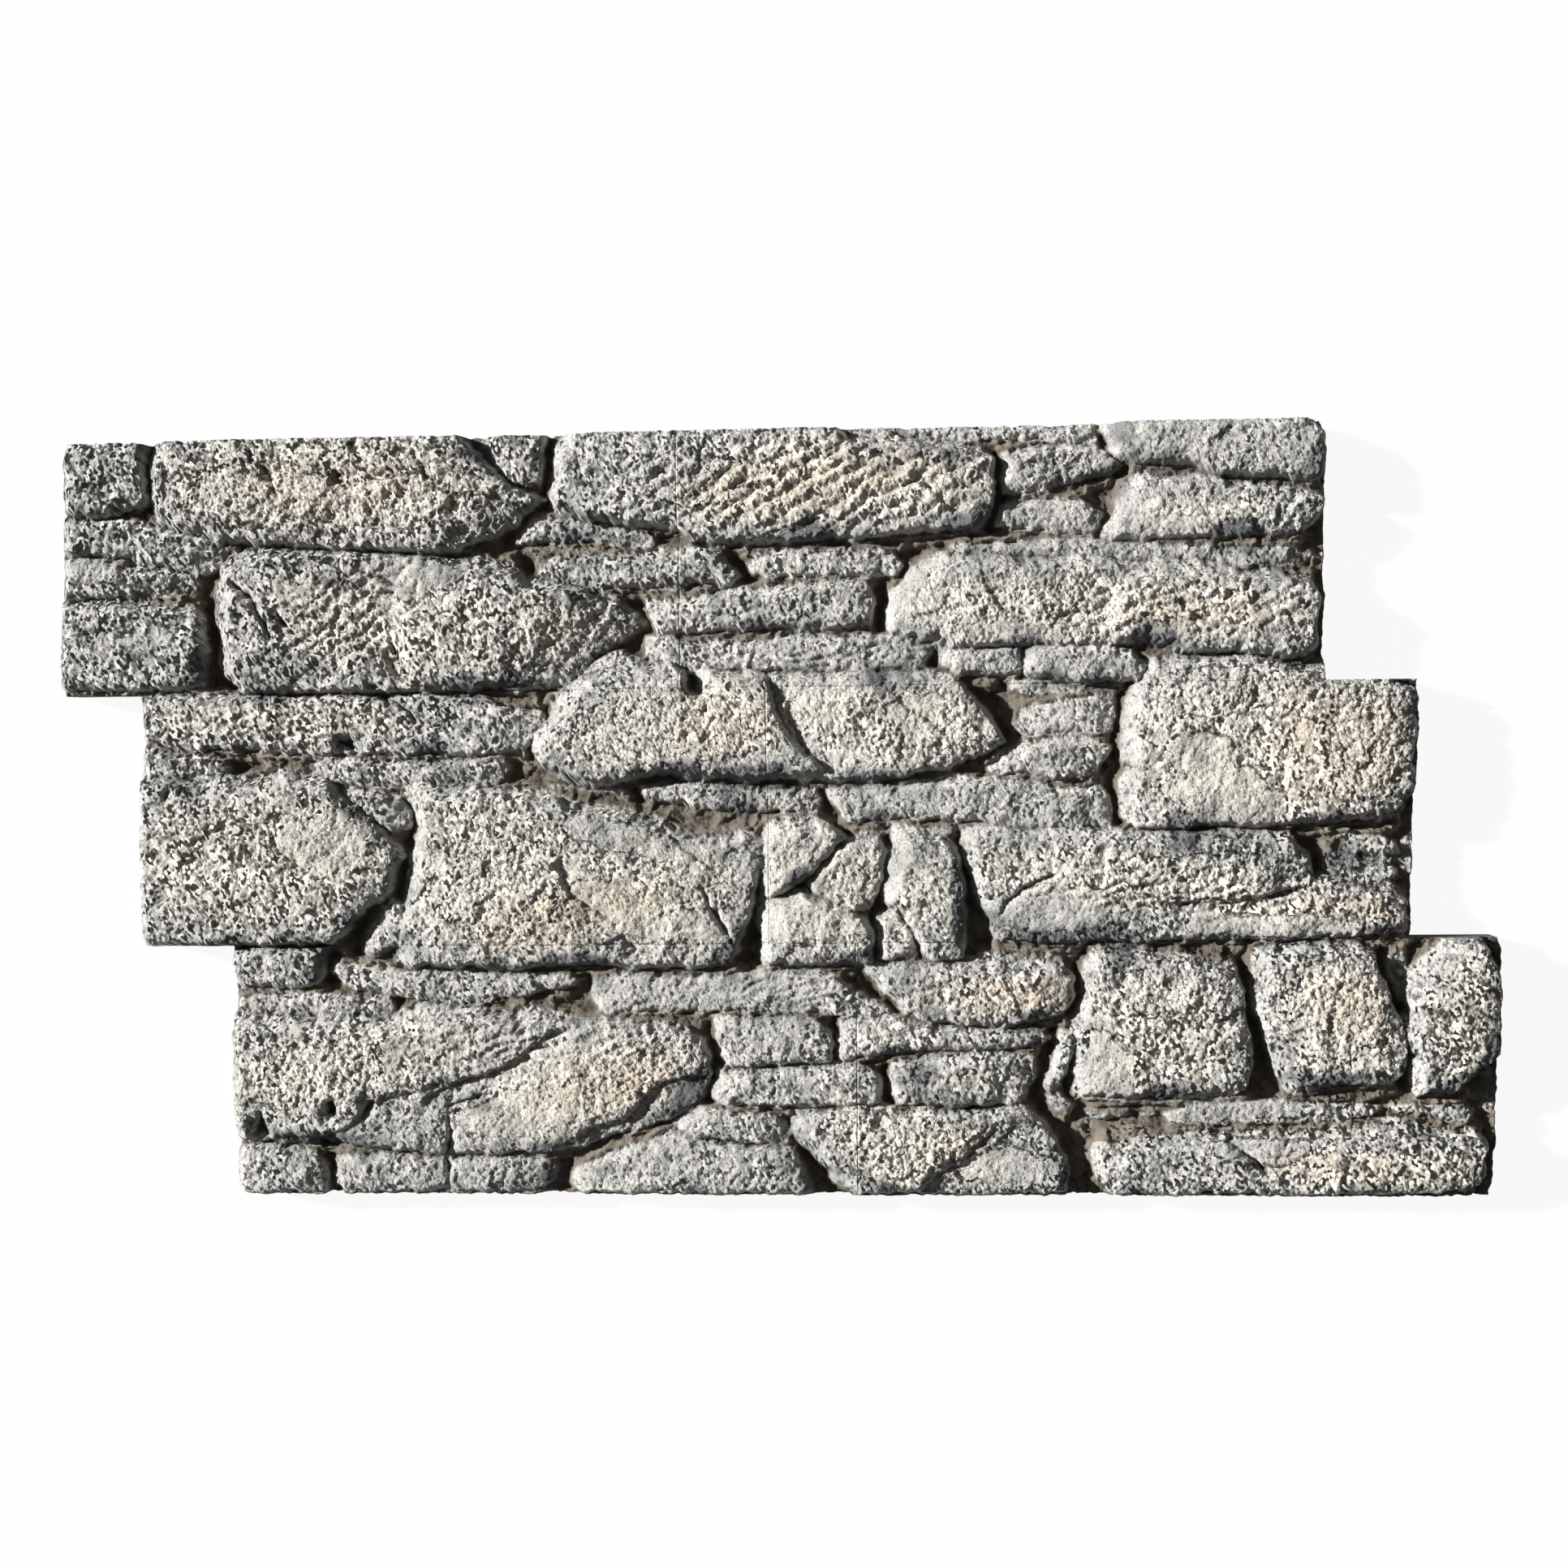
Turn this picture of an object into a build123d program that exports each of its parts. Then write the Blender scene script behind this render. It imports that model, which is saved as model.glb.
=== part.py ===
from build123d import *
from math import cos, radians, sin, tan
import os

# A moulded faux stone wall panel: three stepped courses of dry laid stones on a flat back.
# It lies on its back, X along the courses, Y up the wall, Z out of the wall.

# Overall sizes, in mm
course_length = 1000  # one course, end to end
course_height = 200  # one course, top to bottom
end_step = 67.5  # each course is shifted by this from the one below it
panel_thickness = 50  # back face to the highest stone
backing_thickness = 22  # back face to the floor of the joints

# The moulded edges of every stone
flank_draft = 12  # degrees, so that the skin leaves its mould
shoulder_width = 3.5  # worn edge of a stone, seen from above
shoulder_drop = 3  # worn edge of a stone, seen from the side
crack_width = 3.2  # splits within a stone

# The stones are drawn on a sheet with courses of this size, and laid on the real ones
drawn_length = 1000
drawn_height = 200
drawn_step = 75


def laid(row, points):
    """points of the drawing, moved to the real place of their course"""
    along = course_length / drawn_length
    up = course_height / drawn_height
    return [
        (
            (x + row * drawn_step) * along - row * end_step,
            y * up,
        )
        for x, y in points
    ]


def spread(points, distance):
    """the outline with each of its sides moved out by the distance"""
    moved = []
    for i, (x, y) in enumerate(points):
        before, after = points[i - 1], points[(i + 1) % len(points)]
        a = Vector(x - before[0], y - before[1]).normalized()
        b = Vector(after[0] - x, after[1] - y).normalized()
        k = distance / (1 + a.dot(b))
        moved.append((x + (a.Y + b.Y) * k, y - (a.X + b.X) * k))
    return moved


def room_to_shrink(points):
    """how far all sides can move in before the first of them has no length left"""
    smaller = spread(points, -1)
    limits = []
    for i in range(len(points)):
        side = Vector(*points[i]) - Vector(*points[i - 1])
        kept = (Vector(*smaller[i]) - Vector(*smaller[i - 1])).dot(side.normalized())
        if kept < side.length:
            limits.append(side.length / (side.length - kept))
    return min(limits)


def flat_sided(rings):
    """the solid between matching rings of points, with flat sides and ends"""
    sides = [
        Face(Wire.make_polygon([low[i - 1], low[i], high[i], high[i - 1]]))
        for low, high in zip(rings, rings[1:])
        for i in range(len(low))
    ]
    ends = [Face(Wire.make_polygon(ring)) for ring in (rings[0], rings[-1])]
    return Solid(Shell(sides + ends))


def anticlockwise(points):
    turn = sum(a[0] * b[1] - b[0] * a[1] for a, b in zip(points, points[1:] + points[:1]))
    return points if turn > 0 else points[::-1]


stones = []
hollows = []


def stone(row, drop, fall, points, *splits):
    """One stone of a course, by the outline of its face.

    drop: how far the middle of its face lies below the highest stone.
    fall: how far the face falls along X and along Y, in mm for each 100 mm.
    splits: flat faces broken off it, each (x, y, towards, slope): from the
    point x, y the face falls by slope degrees towards that compass angle.
    """
    points = anticlockwise(laid(row, points))
    cx = sum(x for x, y in points) / len(points)
    cy = sum(y for x, y in points) / len(points)
    own = [(x - cx, y - cy) for x, y in points]
    lean_x, lean_y = fall[0] / 100, fall[1] / 100
    top = panel_thickness - drop
    face = Plane(origin=(cx, cy, top), x_dir=(1, 0, -lean_x), z_dir=(lean_x, lean_y, 1))
    tip = max(abs(x * lean_x + y * lean_y) for x, y in own)
    root = top - backing_thickness / 2 + tip
    foot = (root - shoulder_drop) * tan(radians(flank_draft))
    worn = min(shoulder_width, 0.6 * room_to_shrink(own))
    rings = [
        [face.from_local_coords((x, y, -depth)) for x, y in spread(own, out)]
        for depth, out in ((root, foot), (shoulder_drop, 0), (0, -worn))
    ]
    with BuildPart() as block:
        add(flat_sided(rings))
        for x, y, towards, slope in splits:
            ((x, y),) = laid(row, [(x, y)])
            z = top - (x - cx) * lean_x - (y - cy) * lean_y
            steep = tan(radians(slope))
            normal = (steep * cos(radians(towards)), steep * sin(radians(towards)), 1)
            split(bisect_by=Plane(origin=(x, y, z), z_dir=normal), keep=Keep.BOTTOM)
    stones.append(block.part)


def crack(row, depth, *path):
    """a split that runs along the path, down to the depth below the highest stone"""
    path = laid(row, path)
    left, right = [], []
    for a, p, b in zip(path, path[1:], path[2:]):
        along = Vector(b[0] - a[0], b[1] - a[1]).normalized() * (crack_width / 2)
        left.append((p[0] - along.Y, p[1] + along.X))
        right.append((p[0] + along.Y, p[1] - along.X))
    with BuildPart() as groove:
        with BuildSketch(Plane.XY.offset(panel_thickness)):
            with BuildLine():
                Polyline(path[0], *right, path[-1], *left[::-1], close=True)
            make_face()
        extrude(amount=-depth)
    hollows.append(groove.part)


def pit(row, depth, *points):
    """a broken out hollow with sloping sides, down to the depth below the highest stone"""
    points = anticlockwise(laid(row, list(points)))
    rings = [
        [(x, y, panel_thickness - down) for x, y in spread(points, out)]
        for down, out in ((depth, -1.6), (0, 1.2))
    ]
    with BuildPart() as hole:
        add(flat_sided(rings))
    hollows.append(hole.part)


# Top course, left end
stone(1, 8, (-1.5, 0), [(-571, 299), (-500, 299), (-498, 253), (-510, 247), (-560, 242), (-571, 247)],
      (-555, 285, 140, 9), (-508, 265, -20, 9), (-535, 262, -90, 5))
stone(1, 13, (1, 2), [(-571, 238), (-520, 240), (-500, 235), (-470, 228), (-445, 222), (-435, 213),
      (-437, 198), (-460, 198), (-480, 201), (-510, 208), (-540, 213), (-571, 212)],
      (-480, 215, -60, 14), (-540, 228, 100, 8))
stone(1, 14, (2, -3), [(-571, 208), (-535, 208), (-515, 200), (-480, 197), (-462, 194), (-461, 178),
      (-500, 177), (-530, 178), (-571, 176)], (-505, 190, -62, 20), (-550, 200, 110, 8))
stone(1, 9, (0, 1), [(-571, 168), (-540, 170), (-500, 170), (-463, 168), (-456, 159), (-455, 130),
      (-458, 107), (-500, 106), (-571, 106)], (-540, 125, 235, 6), (-475, 120, -40, 9))

# Top course, the long stones on either side of the corner wedge
stone(1, 3, (0.6, -0.6), [(-482, 299), (-489, 270), (-490, 250), (-476, 237), (-430, 224), (-400, 220),
      (-330, 213), (-300, 212), (-250, 212), (-225, 222), (-205, 233), (-184, 249), (-205, 257),
      (-216, 268), (-235, 285), (-247, 299)],
      (-462, 255, 215, 11), (-250, 240, -40, 12), (-330, 285, 85, 6), (-400, 235, -105, 9),
      (-425, 262, 178, 4), (-290, 262, 2, 2.5), (-330, 250, -88, 3))
stone(1, 11, (0, 0), [(-238, 299), (-181, 299), (-183, 275), (-186, 262), (-203, 261), (-214, 270),
      (-228, 281), (-238, 289)], (-209, 280, 168, 24), (-195, 270, -10, 12))
stone(1, 4, (0.4, -0.8), [(-157, 299), (-163, 280), (-170, 257), (-169, 248), (-160, 240), (-120, 233),
      (-70, 222), (-50, 215), (0, 214), (50, 217), (100, 219), (159, 223), (166, 232), (169, 250),
      (169, 275), (150, 281), (100, 284), (62, 288), (48, 299)],
      (-130, 245, 215, 10), (120, 265, 45, 9), (0, 280, 95, 6), (-60, 232, -95, 9), (140, 240, -30, 8),
      (-100, 258, 172, 4), (95, 262, 8, 4), (-10, 250, -70, 3))

# Top course, right end
stone(1, 18, (0.5, 0), [(56, 299), (254, 299), (250, 286), (225, 285), (205, 288), (140, 289),
      (60, 289)], (230, 292, -30, 9))
stone(1, 15, (2.5, -1), [(178, 278), (212, 282), (250, 281), (264, 275), (270, 268), (262, 261),
      (240, 257), (215, 251), (197, 248), (177, 248)], (215, 262, -80, 12), (190, 268, 150, 9))
stone(1, 16, (1.5, 0), [(175, 239), (205, 241), (240, 240), (254, 233), (254, 222), (246, 215),
      (225, 217), (190, 221), (173, 222)], (225, 228, -45, 9))
stone(1, 6, (0.8, 1.2), [(272, 299), (414, 299), (421, 290), (421, 262), (415, 252), (395, 256),
      (345, 261), (325, 268), (285, 270), (267, 278), (268, 289)],
      (400, 285, 30, 9), (300, 280, 230, 9), (350, 270, -100, 8))
stone(1, 10, (1, -1), [(280, 257), (335, 256), (352, 251), (385, 249), (405, 244), (421, 239),
      (419, 226), (405, 215), (380, 211), (300, 212), (257, 213), (265, 226), (272, 242)],
      (395, 225, -40, 12), (280, 238, 153, 40), (340, 222, -88, 8), (300, 245, 150, 8))
stone(1, 18, (0.5, -4), [(133, 207), (150, 210), (255, 210), (300, 207), (345, 206), (400, 206),
      (414, 203), (420, 192), (400, 186), (330, 189), (250, 193), (205, 197), (150, 197)],
      (395, 200, -10, 18), (250, 200, -92, 18))
stone(1, 5, (0.3, -1), [(93, 142), (92, 155), (97, 168), (106, 179), (120, 189), (136, 194),
      (200, 192), (250, 190), (300, 188), (340, 185), (380, 181), (414, 176), (421, 166), (422, 140),
      (421, 127), (412, 118), (400, 118), (330, 122), (305, 128), (290, 132), (255, 130), (200, 131),
      (150, 130), (130, 136)],
      (130, 175, 140, 15), (220, 150, -92, 7), (108, 150, 195, 10), (205, 165, -8, 5),
      (150, 160, 190, 3))
stone(1, 3, (0.3, -1), [(247, 152), (256, 166), (276, 181), (300, 185), (340, 182), (380, 178),
      (412, 173), (418, 165), (419, 140), (418, 129), (410, 121), (400, 121), (330, 125), (305, 131),
      (290, 135), (264, 134), (250, 141)],
      (395, 140, -45, 10), (300, 177, 88, 8), (400, 168, 40, 8), (270, 160, 165, 20),
      (340, 150, -95, 4), (370, 150, 2, 3))

# Top course, thin stones in the middle
stone(1, 17, (1, -2), [(-206, 215), (-199, 223), (-189, 231), (-175, 235), (-145, 235), (-122, 229),
      (-100, 221), (-94, 213), (-103, 209), (-122, 211), (-140, 215), (-175, 217)],
      (-120, 222, -60, 12), (-185, 225, 140, 10))
stone(1, 13, (-0.6, 0.5), [(-189, 191), (-187, 201), (-130, 204), (-75, 206), (-58, 211), (-46, 208),
      (-37, 199), (-28, 187), (-36, 181), (-60, 181), (-140, 180), (-165, 184)],
      (-120, 195, 178, 7), (-45, 197, 20, 14))
stone(1, 15, (0.5, 0), [(-16, 195), (-9, 203), (20, 206), (75, 205), (94, 202), (100, 194), (95, 186),
      (75, 185), (50, 187), (20, 185), (-9, 186)], (70, 196, 15, 8), (10, 190, -100, 10))
stone(1, 11, (0, 1), [(-96, 164), (-60, 168), (-5, 172), (20, 177), (72, 180), (77, 165), (74, 147),
      (40, 146), (-10, 146), (-60, 144), (-91, 143)], (-70, 155, 190, 8), (55, 160, -10, 8),
      (0, 152, -92, 8))
stone(1, 15, (0, 0), [(-103, 141), (-85, 139), (-60, 136), (0, 137), (60, 139), (105, 140), (126, 136),
      (122, 125), (113, 110), (60, 111), (0, 112), (-60, 113), (-98, 118), (-104, 128)],
      (100, 125, -20, 12), (-80, 125, 200, 8))
stone(1, 13, (0, 0), [(138, 129), (191, 128), (190, 108), (142, 108), (134, 116)],
      (165, 115, -70, 9))
stone(1, 9, (3, -2), [(197, 129), (255, 129), (275, 124), (287, 113), (281, 102), (240, 100),
      (212, 105), (197, 109)], (205, 118, 175, 22), (255, 112, -35, 12))
stone(1, 22, (0, 0), [(-221, 200), (-211, 207), (-202, 203), (-203, 192), (-212, 191)])
stone(1, 20, (3, -4), [(180, 106), (205, 104), (238, 98), (238, 91), (200, 88), (183, 95)])

# Top course, the big stone at the lower left
stone(1, 3, (0.5, -1), [(-432, 189), (-424, 199), (-405, 208), (-330, 207), (-270, 203), (-235, 198),
      (-205, 190), (-190, 183), (-150, 178), (-125, 170), (-104, 151), (-120, 140), (-145, 125),
      (-158, 103), (-422, 103), (-427, 118), (-431, 135), (-433, 150)],
      (-390, 195, 105, 8), (-340, 125, -95, 9), (-416, 160, 178, 9), (-400, 120, 240, 7),
      (-390, 155, 0, 3.2), (-200, 155, -42, 14), (-165, 165, 30, 12))
stone(1, 3, (0.5, -1), [(-303, 150), (-300, 182), (-288, 196), (-270, 200), (-235, 195), (-205, 187),
      (-190, 180), (-150, 175), (-127, 167), (-108, 151), (-122, 142), (-147, 127), (-160, 106),
      (-292, 106), (-298, 125)],
      (-190, 155, -42, 14), (-260, 128, -95, 9), (-150, 165, 30, 12), (-286, 150, 180, 16),
      (-235, 185, 85, 7), (-215, 150, 5, 2.5))

# Middle course, left end
stone(0, 12, (0.4, 0.8), [(-496, 97), (-497, 80), (-496, 63), (-450, 57), (-400, 55), (-365, 53),
      (-300, 52), (-250, 52), (-194, 52), (-184, 62), (-175, 77), (-179, 83), (-204, 85), (-224, 94),
      (-260, 97),
      (-310, 97), (-380, 99), (-430, 98)],
      (-205, 75, 15, 10), (-480, 80, 185, 9), (-330, 68, -90, 9), (-280, 85, 80, 8),
      (-290, 75, 0, 3), (-420, 75, 180, 3))
stone(0, 14, (2, -1), [(-496, 56), (-470, 53), (-440, 50), (-431, 43), (-430, 32), (-445, 27),
      (-470, 31), (-496, 34)], (-450, 40, -20, 14))
stone(0, 17, (0.5, -1), [(-374, 42), (-362, 48), (-300, 46), (-212, 46), (-204, 42), (-205, 34),
      (-218, 26), (-250, 27), (-300, 24), (-345, 28), (-368, 34)], (-230, 36, -15, 14),
      (-340, 38, 160, 8))
stone(0, 22, (2, 0), [(-197, 45), (-168, 44), (-157, 38), (-152, 32), (-165, 31), (-182, 37)])
stone(0, 4, (0, 0.5), [(-496, 28), (-470, 29), (-440, 25), (-400, 28), (-350, 28), (-330, 12),
      (-304, -12), (-292, -30), (-300, -43), (-304, -58), (-322, -70), (-335, -86), (-347, -97),
      (-497, -97), (-497, -60), (-497, -30)],
      (-440, 10, 92, 9), (-335, -60, -35, 13), (-470, -60, 200, 6), (-345, -5, 25, 12),
      (-400, -75, -95, 6), (-392, -30, -5, 3), (-445, -30, 178, 4), (-400, -50, -92, 3))
stone(0, 12, (1, 0), [(-336, 24), (-310, 19), (-292, 15), (-284, 7), (-285, -6), (-298, -11),
      (-322, 6), (-336, 16)], (-305, 5, 0, 12))
stone(0, 14, (-2, 2), [(-300, -67), (-291, -68), (-289, -95), (-296, -103), (-315, -109), (-325, -104),
      (-316, -92), (-307, -82)], (-300, -90, 160, 12))

# Middle course, the big stone left of the centre
stone(0, 3, (0.8, -0.8), [(-272, 18), (-230, 19), (-190, 14), (-150, 4), (-105, -2), (-80, -12),
      (-52, -21), (-5, -22), (-8, -40), (-14, -62), (-20, -85), (-27, -105), (-34, -116), (-60, -118),
      (-100, -116), (-150, -114), (-200, -117), (-250, -115), (-283, -113), (-287, -98), (-285, -85),
      (-280, -60), (-273, -45), (-272, -30), (-270, 5)],
      (-255, -10, 150, 10), (-60, -45, 25, 11), (-60, -90, -40, 10), (-160, -95, -92, 8),
      (-190, -5, 72, 9), (-270, -70, 185, 9), (-110, -20, 60, 9), (-170, -55, 8, 2.5),
      (-225, -50, 178, 4), (-180, -75, -92, 3))
stone(0, 10, (0, 0), [(-114, -78), (-102, -74), (-90, -80), (-88, -94), (-98, -100), (-113, -95)],
      (-106, -82, 140, 20))

# Middle course, the big split stone in the centre
stone(0, 0, (0.8, -0.5), [(-175, 57), (-163, 72), (-151, 86), (-149, 95), (-127, 111), (-100, 114),
      (-60, 110), (0, 107), (5, 85), (20, 60), (43, 34), (0, 30), (-60, 36), (-105, 33), (-125, 29),
      (-140, 30), (-153, 35), (-172, 48)],
      (-135, 88, 145, 12), (-146, 55, 205, 11), (-60, 50, -92, 9), (-50, 95, 88, 7), (0, 70, 20, 7),
      (-85, 72, 182, 3), (-60, 68, -90, 3))
stone(0, 6, (1, -0.5), [(-12, 100), (0, 107), (60, 108), (110, 106), (150, 100), (163, 88), (175, 70),
      (183, 55), (170, 47), (140, 38), (100, 30), (50, 29), (20, 31), (-12, 60)],
      (145, 80, 38, 13), (140, 58, -50, 10), (80, 45, -92, 8), (92, 78, 42, 4), (60, 70, 170, 3))

# Middle course, thin stones in the middle
stone(0, 21, (1, -2), [(-181, 21), (-174, 28), (-150, 29), (-120, 27), (-101, 17), (-113, 13),
      (-140, 17), (-165, 19)])
stone(0, 17, (0, -2), [(-103, 25), (-60, 28), (0, 24), (37, 20), (41, 10), (39, 0), (8, 2), (-20, 3),
      (-50, 6), (-85, 10), (-97, 15)], (20, 12, -10, 9), (-60, 15, -100, 12))
stone(0, 14, (0.8, 0), [(47, 17), (100, 21), (140, 26), (175, 27), (215, 22), (260, 18), (267, 9),
      (268, -8), (260, -16), (225, -14), (180, -9), (150, -5), (100, -3), (65, -4), (55, 4)],
      (240, 5, -15, 9), (120, 5, -95, 8), (190, 18, 80, 9))
stone(0, 21, (1, -1), [(60, -10), (100, -8), (150, -8), (158, -13), (148, -18), (110, -18), (70, -17)])
stone(0, 13, (2, 0), [(173, 35), (190, 44), (200, 50), (213, 55), (250, 55), (268, 50), (261, 40),
      (250, 27), (225, 27), (200, 30), (182, 30)], (240, 42, -20, 12), (200, 40, 150, 9))
stone(0, 17, (1, 2), [(188, 69), (205, 80), (230, 88), (255, 93), (270, 93), (272, 75), (268, 63),
      (230, 61), (198, 61)], (220, 72, 150, 9), (255, 75, 0, 10))

# Middle course, the big stones at the right
stone(0, 5, (0.5, 0.3), [(300, 112), (340, 115), (363, 115), (400, 110), (424, 103), (480, 98),
      (495, 94), (497, 60), (496, 20), (487, -2), (440, -8), (370, -8), (320, -11), (287, -11),
      (280, -3), (281, 40), (283, 72), (291, 95)],
      (325, 90, 125, 11), (440, 85, 55, 9), (310, 15, 215, 10), (390, 10, -92, 8),
      (291, 50, 178, 48), (308, 50, 178, 8), (370, 40, 0, 2.5))
stone(0, 2, (0.5, 0.3), [(304, 86), (325, 79), (362, 69), (392, 62), (399, 45), (396, 20), (402, -5),
      (440, -5), (484, 1), (493, 20), (494, 60), (492, 91), (479, 95), (424, 100), (400, 107),
      (363, 112), (340, 112), (312, 108), (306, 98)],
      (325, 95, 125, 11), (460, 30, -15, 8), (440, 85, 55, 9), (440, 12, -92, 8), (445, 55, 2, 3),
      (420, 50, 178, 4))
stone(0, 10, (0.5, -0.5), [(158, -20), (200, -19), (260, -18), (310, -16), (400, -18), (418, -36),
      (420, -52), (448, -58), (480, -65), (496, -72), (496, -94), (450, -97), (400, -99), (300, -99),
      (250, -100), (200, -100), (179, -97), (176, -86), (166, -65), (160, -45)],
      (190, -80, 215, 9), (470, -82, -20, 8), (320, -88, -92, 9), (172, -62, 200, 40))
stone(0, 6, (0.6, 0.6), [(166, -23), (200, -21), (260, -20), (310, -18), (398, -20), (415, -37),
      (416, -50), (408, -60), (380, -66), (330, -71), (280, -70), (230, -58), (200, -56), (170, -60),
      (163, -45)], (390, -40, 0, 10), (190, -40, 165, 8), (300, -30, 88, 6), (172, -40, 188, 40),
      (265, -45, 180, 3), (340, -50, -88, 4))
stone(0, 20, (1, -1), [(427, -16), (450, -16), (475, -18), (488, -26), (489, -35), (475, -37),
      (450, -31)])
stone(0, 19, (1, -1), [(427, -33), (450, -35), (475, -42), (488, -49), (486, -60), (470, -62),
      (450, -55), (427, -55)])

# Middle course, the cracked block below the centre
stone(0, 8, (1, 1), [(7, -9), (40, -9), (56, -12), (58, -18), (51, -25), (44, -34), (34, -44),
      (22, -52), (12, -60), (0, -65), (-2, -50), (2, -22)], (15, -25, 165, 10))
stone(0, 11, (5, -2), [(63, -20), (88, -19), (93, -31), (87, -55), (78, -75), (68, -77), (58, -71),
      (46, -66), (32, -58), (38, -47), (47, -38), (55, -28)], (80, -50, -10, 12))
stone(0, 7, (1, -1), [(1, -73), (13, -70), (27, -64), (46, -69), (61, -74), (75, -85), (80, -96),
      (79, -115), (1, -116), (-2, -95)], (15, -90, 185, 9), (60, -105, -50, 9))
stone(0, 13, (3, 0), [(87, -84), (97, -74), (104, -80), (110, -92), (116, -111), (90, -113),
      (86, -98)])
stone(0, 8, (2, 0), [(112, -19), (137, -20), (147, -27), (151, -45), (152, -80), (150, -113),
      (125, -113), (114, -93), (105, -76), (95, -69), (98, -55), (102, -40), (107, -25)],
      (140, -60, 0, 12), (130, -100, -60, 9))

# Bottom course, left end
stone(-1, 10, (0, 0), [(-421, -104), (-400, -103), (-348, -103), (-348, -115), (-351, -122),
      (-354, -131), (-380, -133), (-421, -131)], (-370, -115, -10, 9), (-410, -110, 150, 8))
stone(-1, 17, (0.5, 0), [(-421, -141), (-400, -138), (-360, -139), (-300, -142), (-293, -149),
      (-293, -158), (-330, -161), (-370, -158), (-405, -156), (-421, -151)],
      (-350, -150, -92, 16), (-310, -148, 0, 9))
stone(-1, 15, (0, -1), [(-345, -122), (-338, -117), (-318, -119), (-285, -121), (-250, -122),
      (-200, -123), (-160, -125), (-141, -128), (-151, -134), (-175, -139), (-200, -143),
      (-225, -148), (-248, -150), (-268, -144), (-300, -139), (-322, -134), (-337, -130)],
      (-330, -124, 170, 10), (-180, -132, -60, 12), (-270, -132, -92, 8))
stone(-1, 8, (0.5, -0.6), [(-421, -165), (-400, -162), (-370, -162), (-330, -166), (-292, -165),
      (-270, -159), (-250, -156), (-218, -157), (-195, -160), (-150, -164), (-100, -165), (-80, -169),
      (-60, -172), (-46, -177), (-42, -190), (-43, -212), (-49, -223), (-70, -237), (-100, -247),
      (-150, -260), (-170, -264), (-200, -263), (-250, -265), (-300, -260), (-340, -257), (-380, -255),
      (-420, -253), (-421, -210)],
      (-95, -210, -60, 13), (-300, -235, -92, 6), (-62, -190, 5, 12), (-100, -180, 80, 8),
      (-130, -200, -45, 3))
stone(-1, 3, (0.4, -0.4), [(-418, -168), (-400, -165), (-370, -165), (-330, -169), (-292, -168),
      (-270, -162), (-250, -159), (-218, -160), (-195, -163), (-172, -166), (-181, -179),
      (-197, -194), (-225, -203), (-250, -208), (-280, -216), (-308, -221), (-318, -236),
      (-335, -246), (-352, -250), (-380, -251), (-417, -250), (-418, -210)],
      (-380, -185, 115, 7), (-400, -225, 215, 12), (-250, -200, -72, 9), (-220, -175, 40, 8),
      (-330, -195, 178, 3), (-270, -185, 0, 2.5))
stone(-1, 12, (0, -1), [(-421, -260), (-400, -260), (-360, -267), (-350, -277), (-351, -297),
      (-421, -297)], (-370, -285, -20, 9), (-400, -285, -100, 10))
stone(-1, 13, (0.3, -1), [(-337, -271), (-300, -269), (-250, -272), (-200, -272), (-170, -272),
      (-163, -278), (-168, -288), (-184, -297), (-336, -297), (-344, -285)],
      (-200, -285, -30, 11), (-315, -280, 170, 9), (-260, -288, -92, 8))
pit(-1, 20, (-412, -252), (-402, -232), (-394, -253))
pit(-1, 22, (-357, -262), (-351, -251), (-336, -262))
pit(-1, 14, (-347, -236), (-347, -224), (-341, -222), (-339, -236))
pit(-1, 14, (-321, -237), (-312, -222), (-309, -224), (-313, -238))

# Bottom course, the strips and small stones in the middle
stone(-1, 15, (0, 0), [(-130, -128), (-121, -125), (-60, -127), (0, -123), (40, -122), (59, -126),
      (70, -134), (85, -144), (98, -148), (105, -157), (70, -158), (0, -155), (-50, -154),
      (-90, -156), (-128, -155)], (-110, -140, 175, 9), (40, -140, -80, 6), (-40, -148, -92, 8))
stone(-1, 8, (0.5, 0), [(86, -122), (120, -121), (160, -120), (200, -121), (236, -122), (243, -129),
      (242, -145), (236, -155), (224, -161), (190, -165), (150, -163), (130, -160), (119, -155),
      (108, -145), (97, -134)], (110, -135, 215, 18), (215, -140, -25, 9), (170, -155, -92, 8))
stone(-1, 11, (0.5, 0), [(-32, -162), (-10, -161), (10, -162), (45, -164), (53, -171), (56, -183),
      (54, -194), (30, -196), (0, -197), (-26, -197), (-29, -188), (-31, -175)],
      (30, -180, -10, 8), (-15, -185, 200, 8))
stone(-1, 11, (0, 0), [(63, -164), (100, -164), (130, -167), (170, -170), (200, -171), (217, -172),
      (224, -177), (217, -182), (170, -184), (140, -185), (120, -184), (100, -187), (80, -189),
      (64, -193), (62, -180)], (180, -176, -80, 9), (90, -175, 160, 6))
stone(-1, 10, (0, -0.5), [(-29, -204), (0, -202), (40, -201), (83, -201), (91, -205), (93, -214),
      (91, -226), (82, -228), (50, -228), (0, -228), (-27, -226), (-36, -223), (-33, -215)],
      (70, -215, -10, 7), (0, -218, -95, 7))
stone(-1, 9, (1, 0), [(105, -202), (113, -199), (130, -196), (160, -192), (190, -190), (212, -192),
      (213, -205), (208, -216), (205, -224), (196, -228), (170, -228), (130, -228), (107, -226),
      (103, -214)], (175, -210, -20, 12), (125, -205, 140, 7))
stone(-1, 13, (1, 0), [(-67, -247), (-58, -241), (-44, -235), (-20, -235), (0, -237), (17, -239),
      (26, -245), (28, -252), (17, -257), (0, -258), (-30, -256), (-50, -253)],
      (0, -248, -8, 18), (-45, -247, 190, 8))
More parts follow.
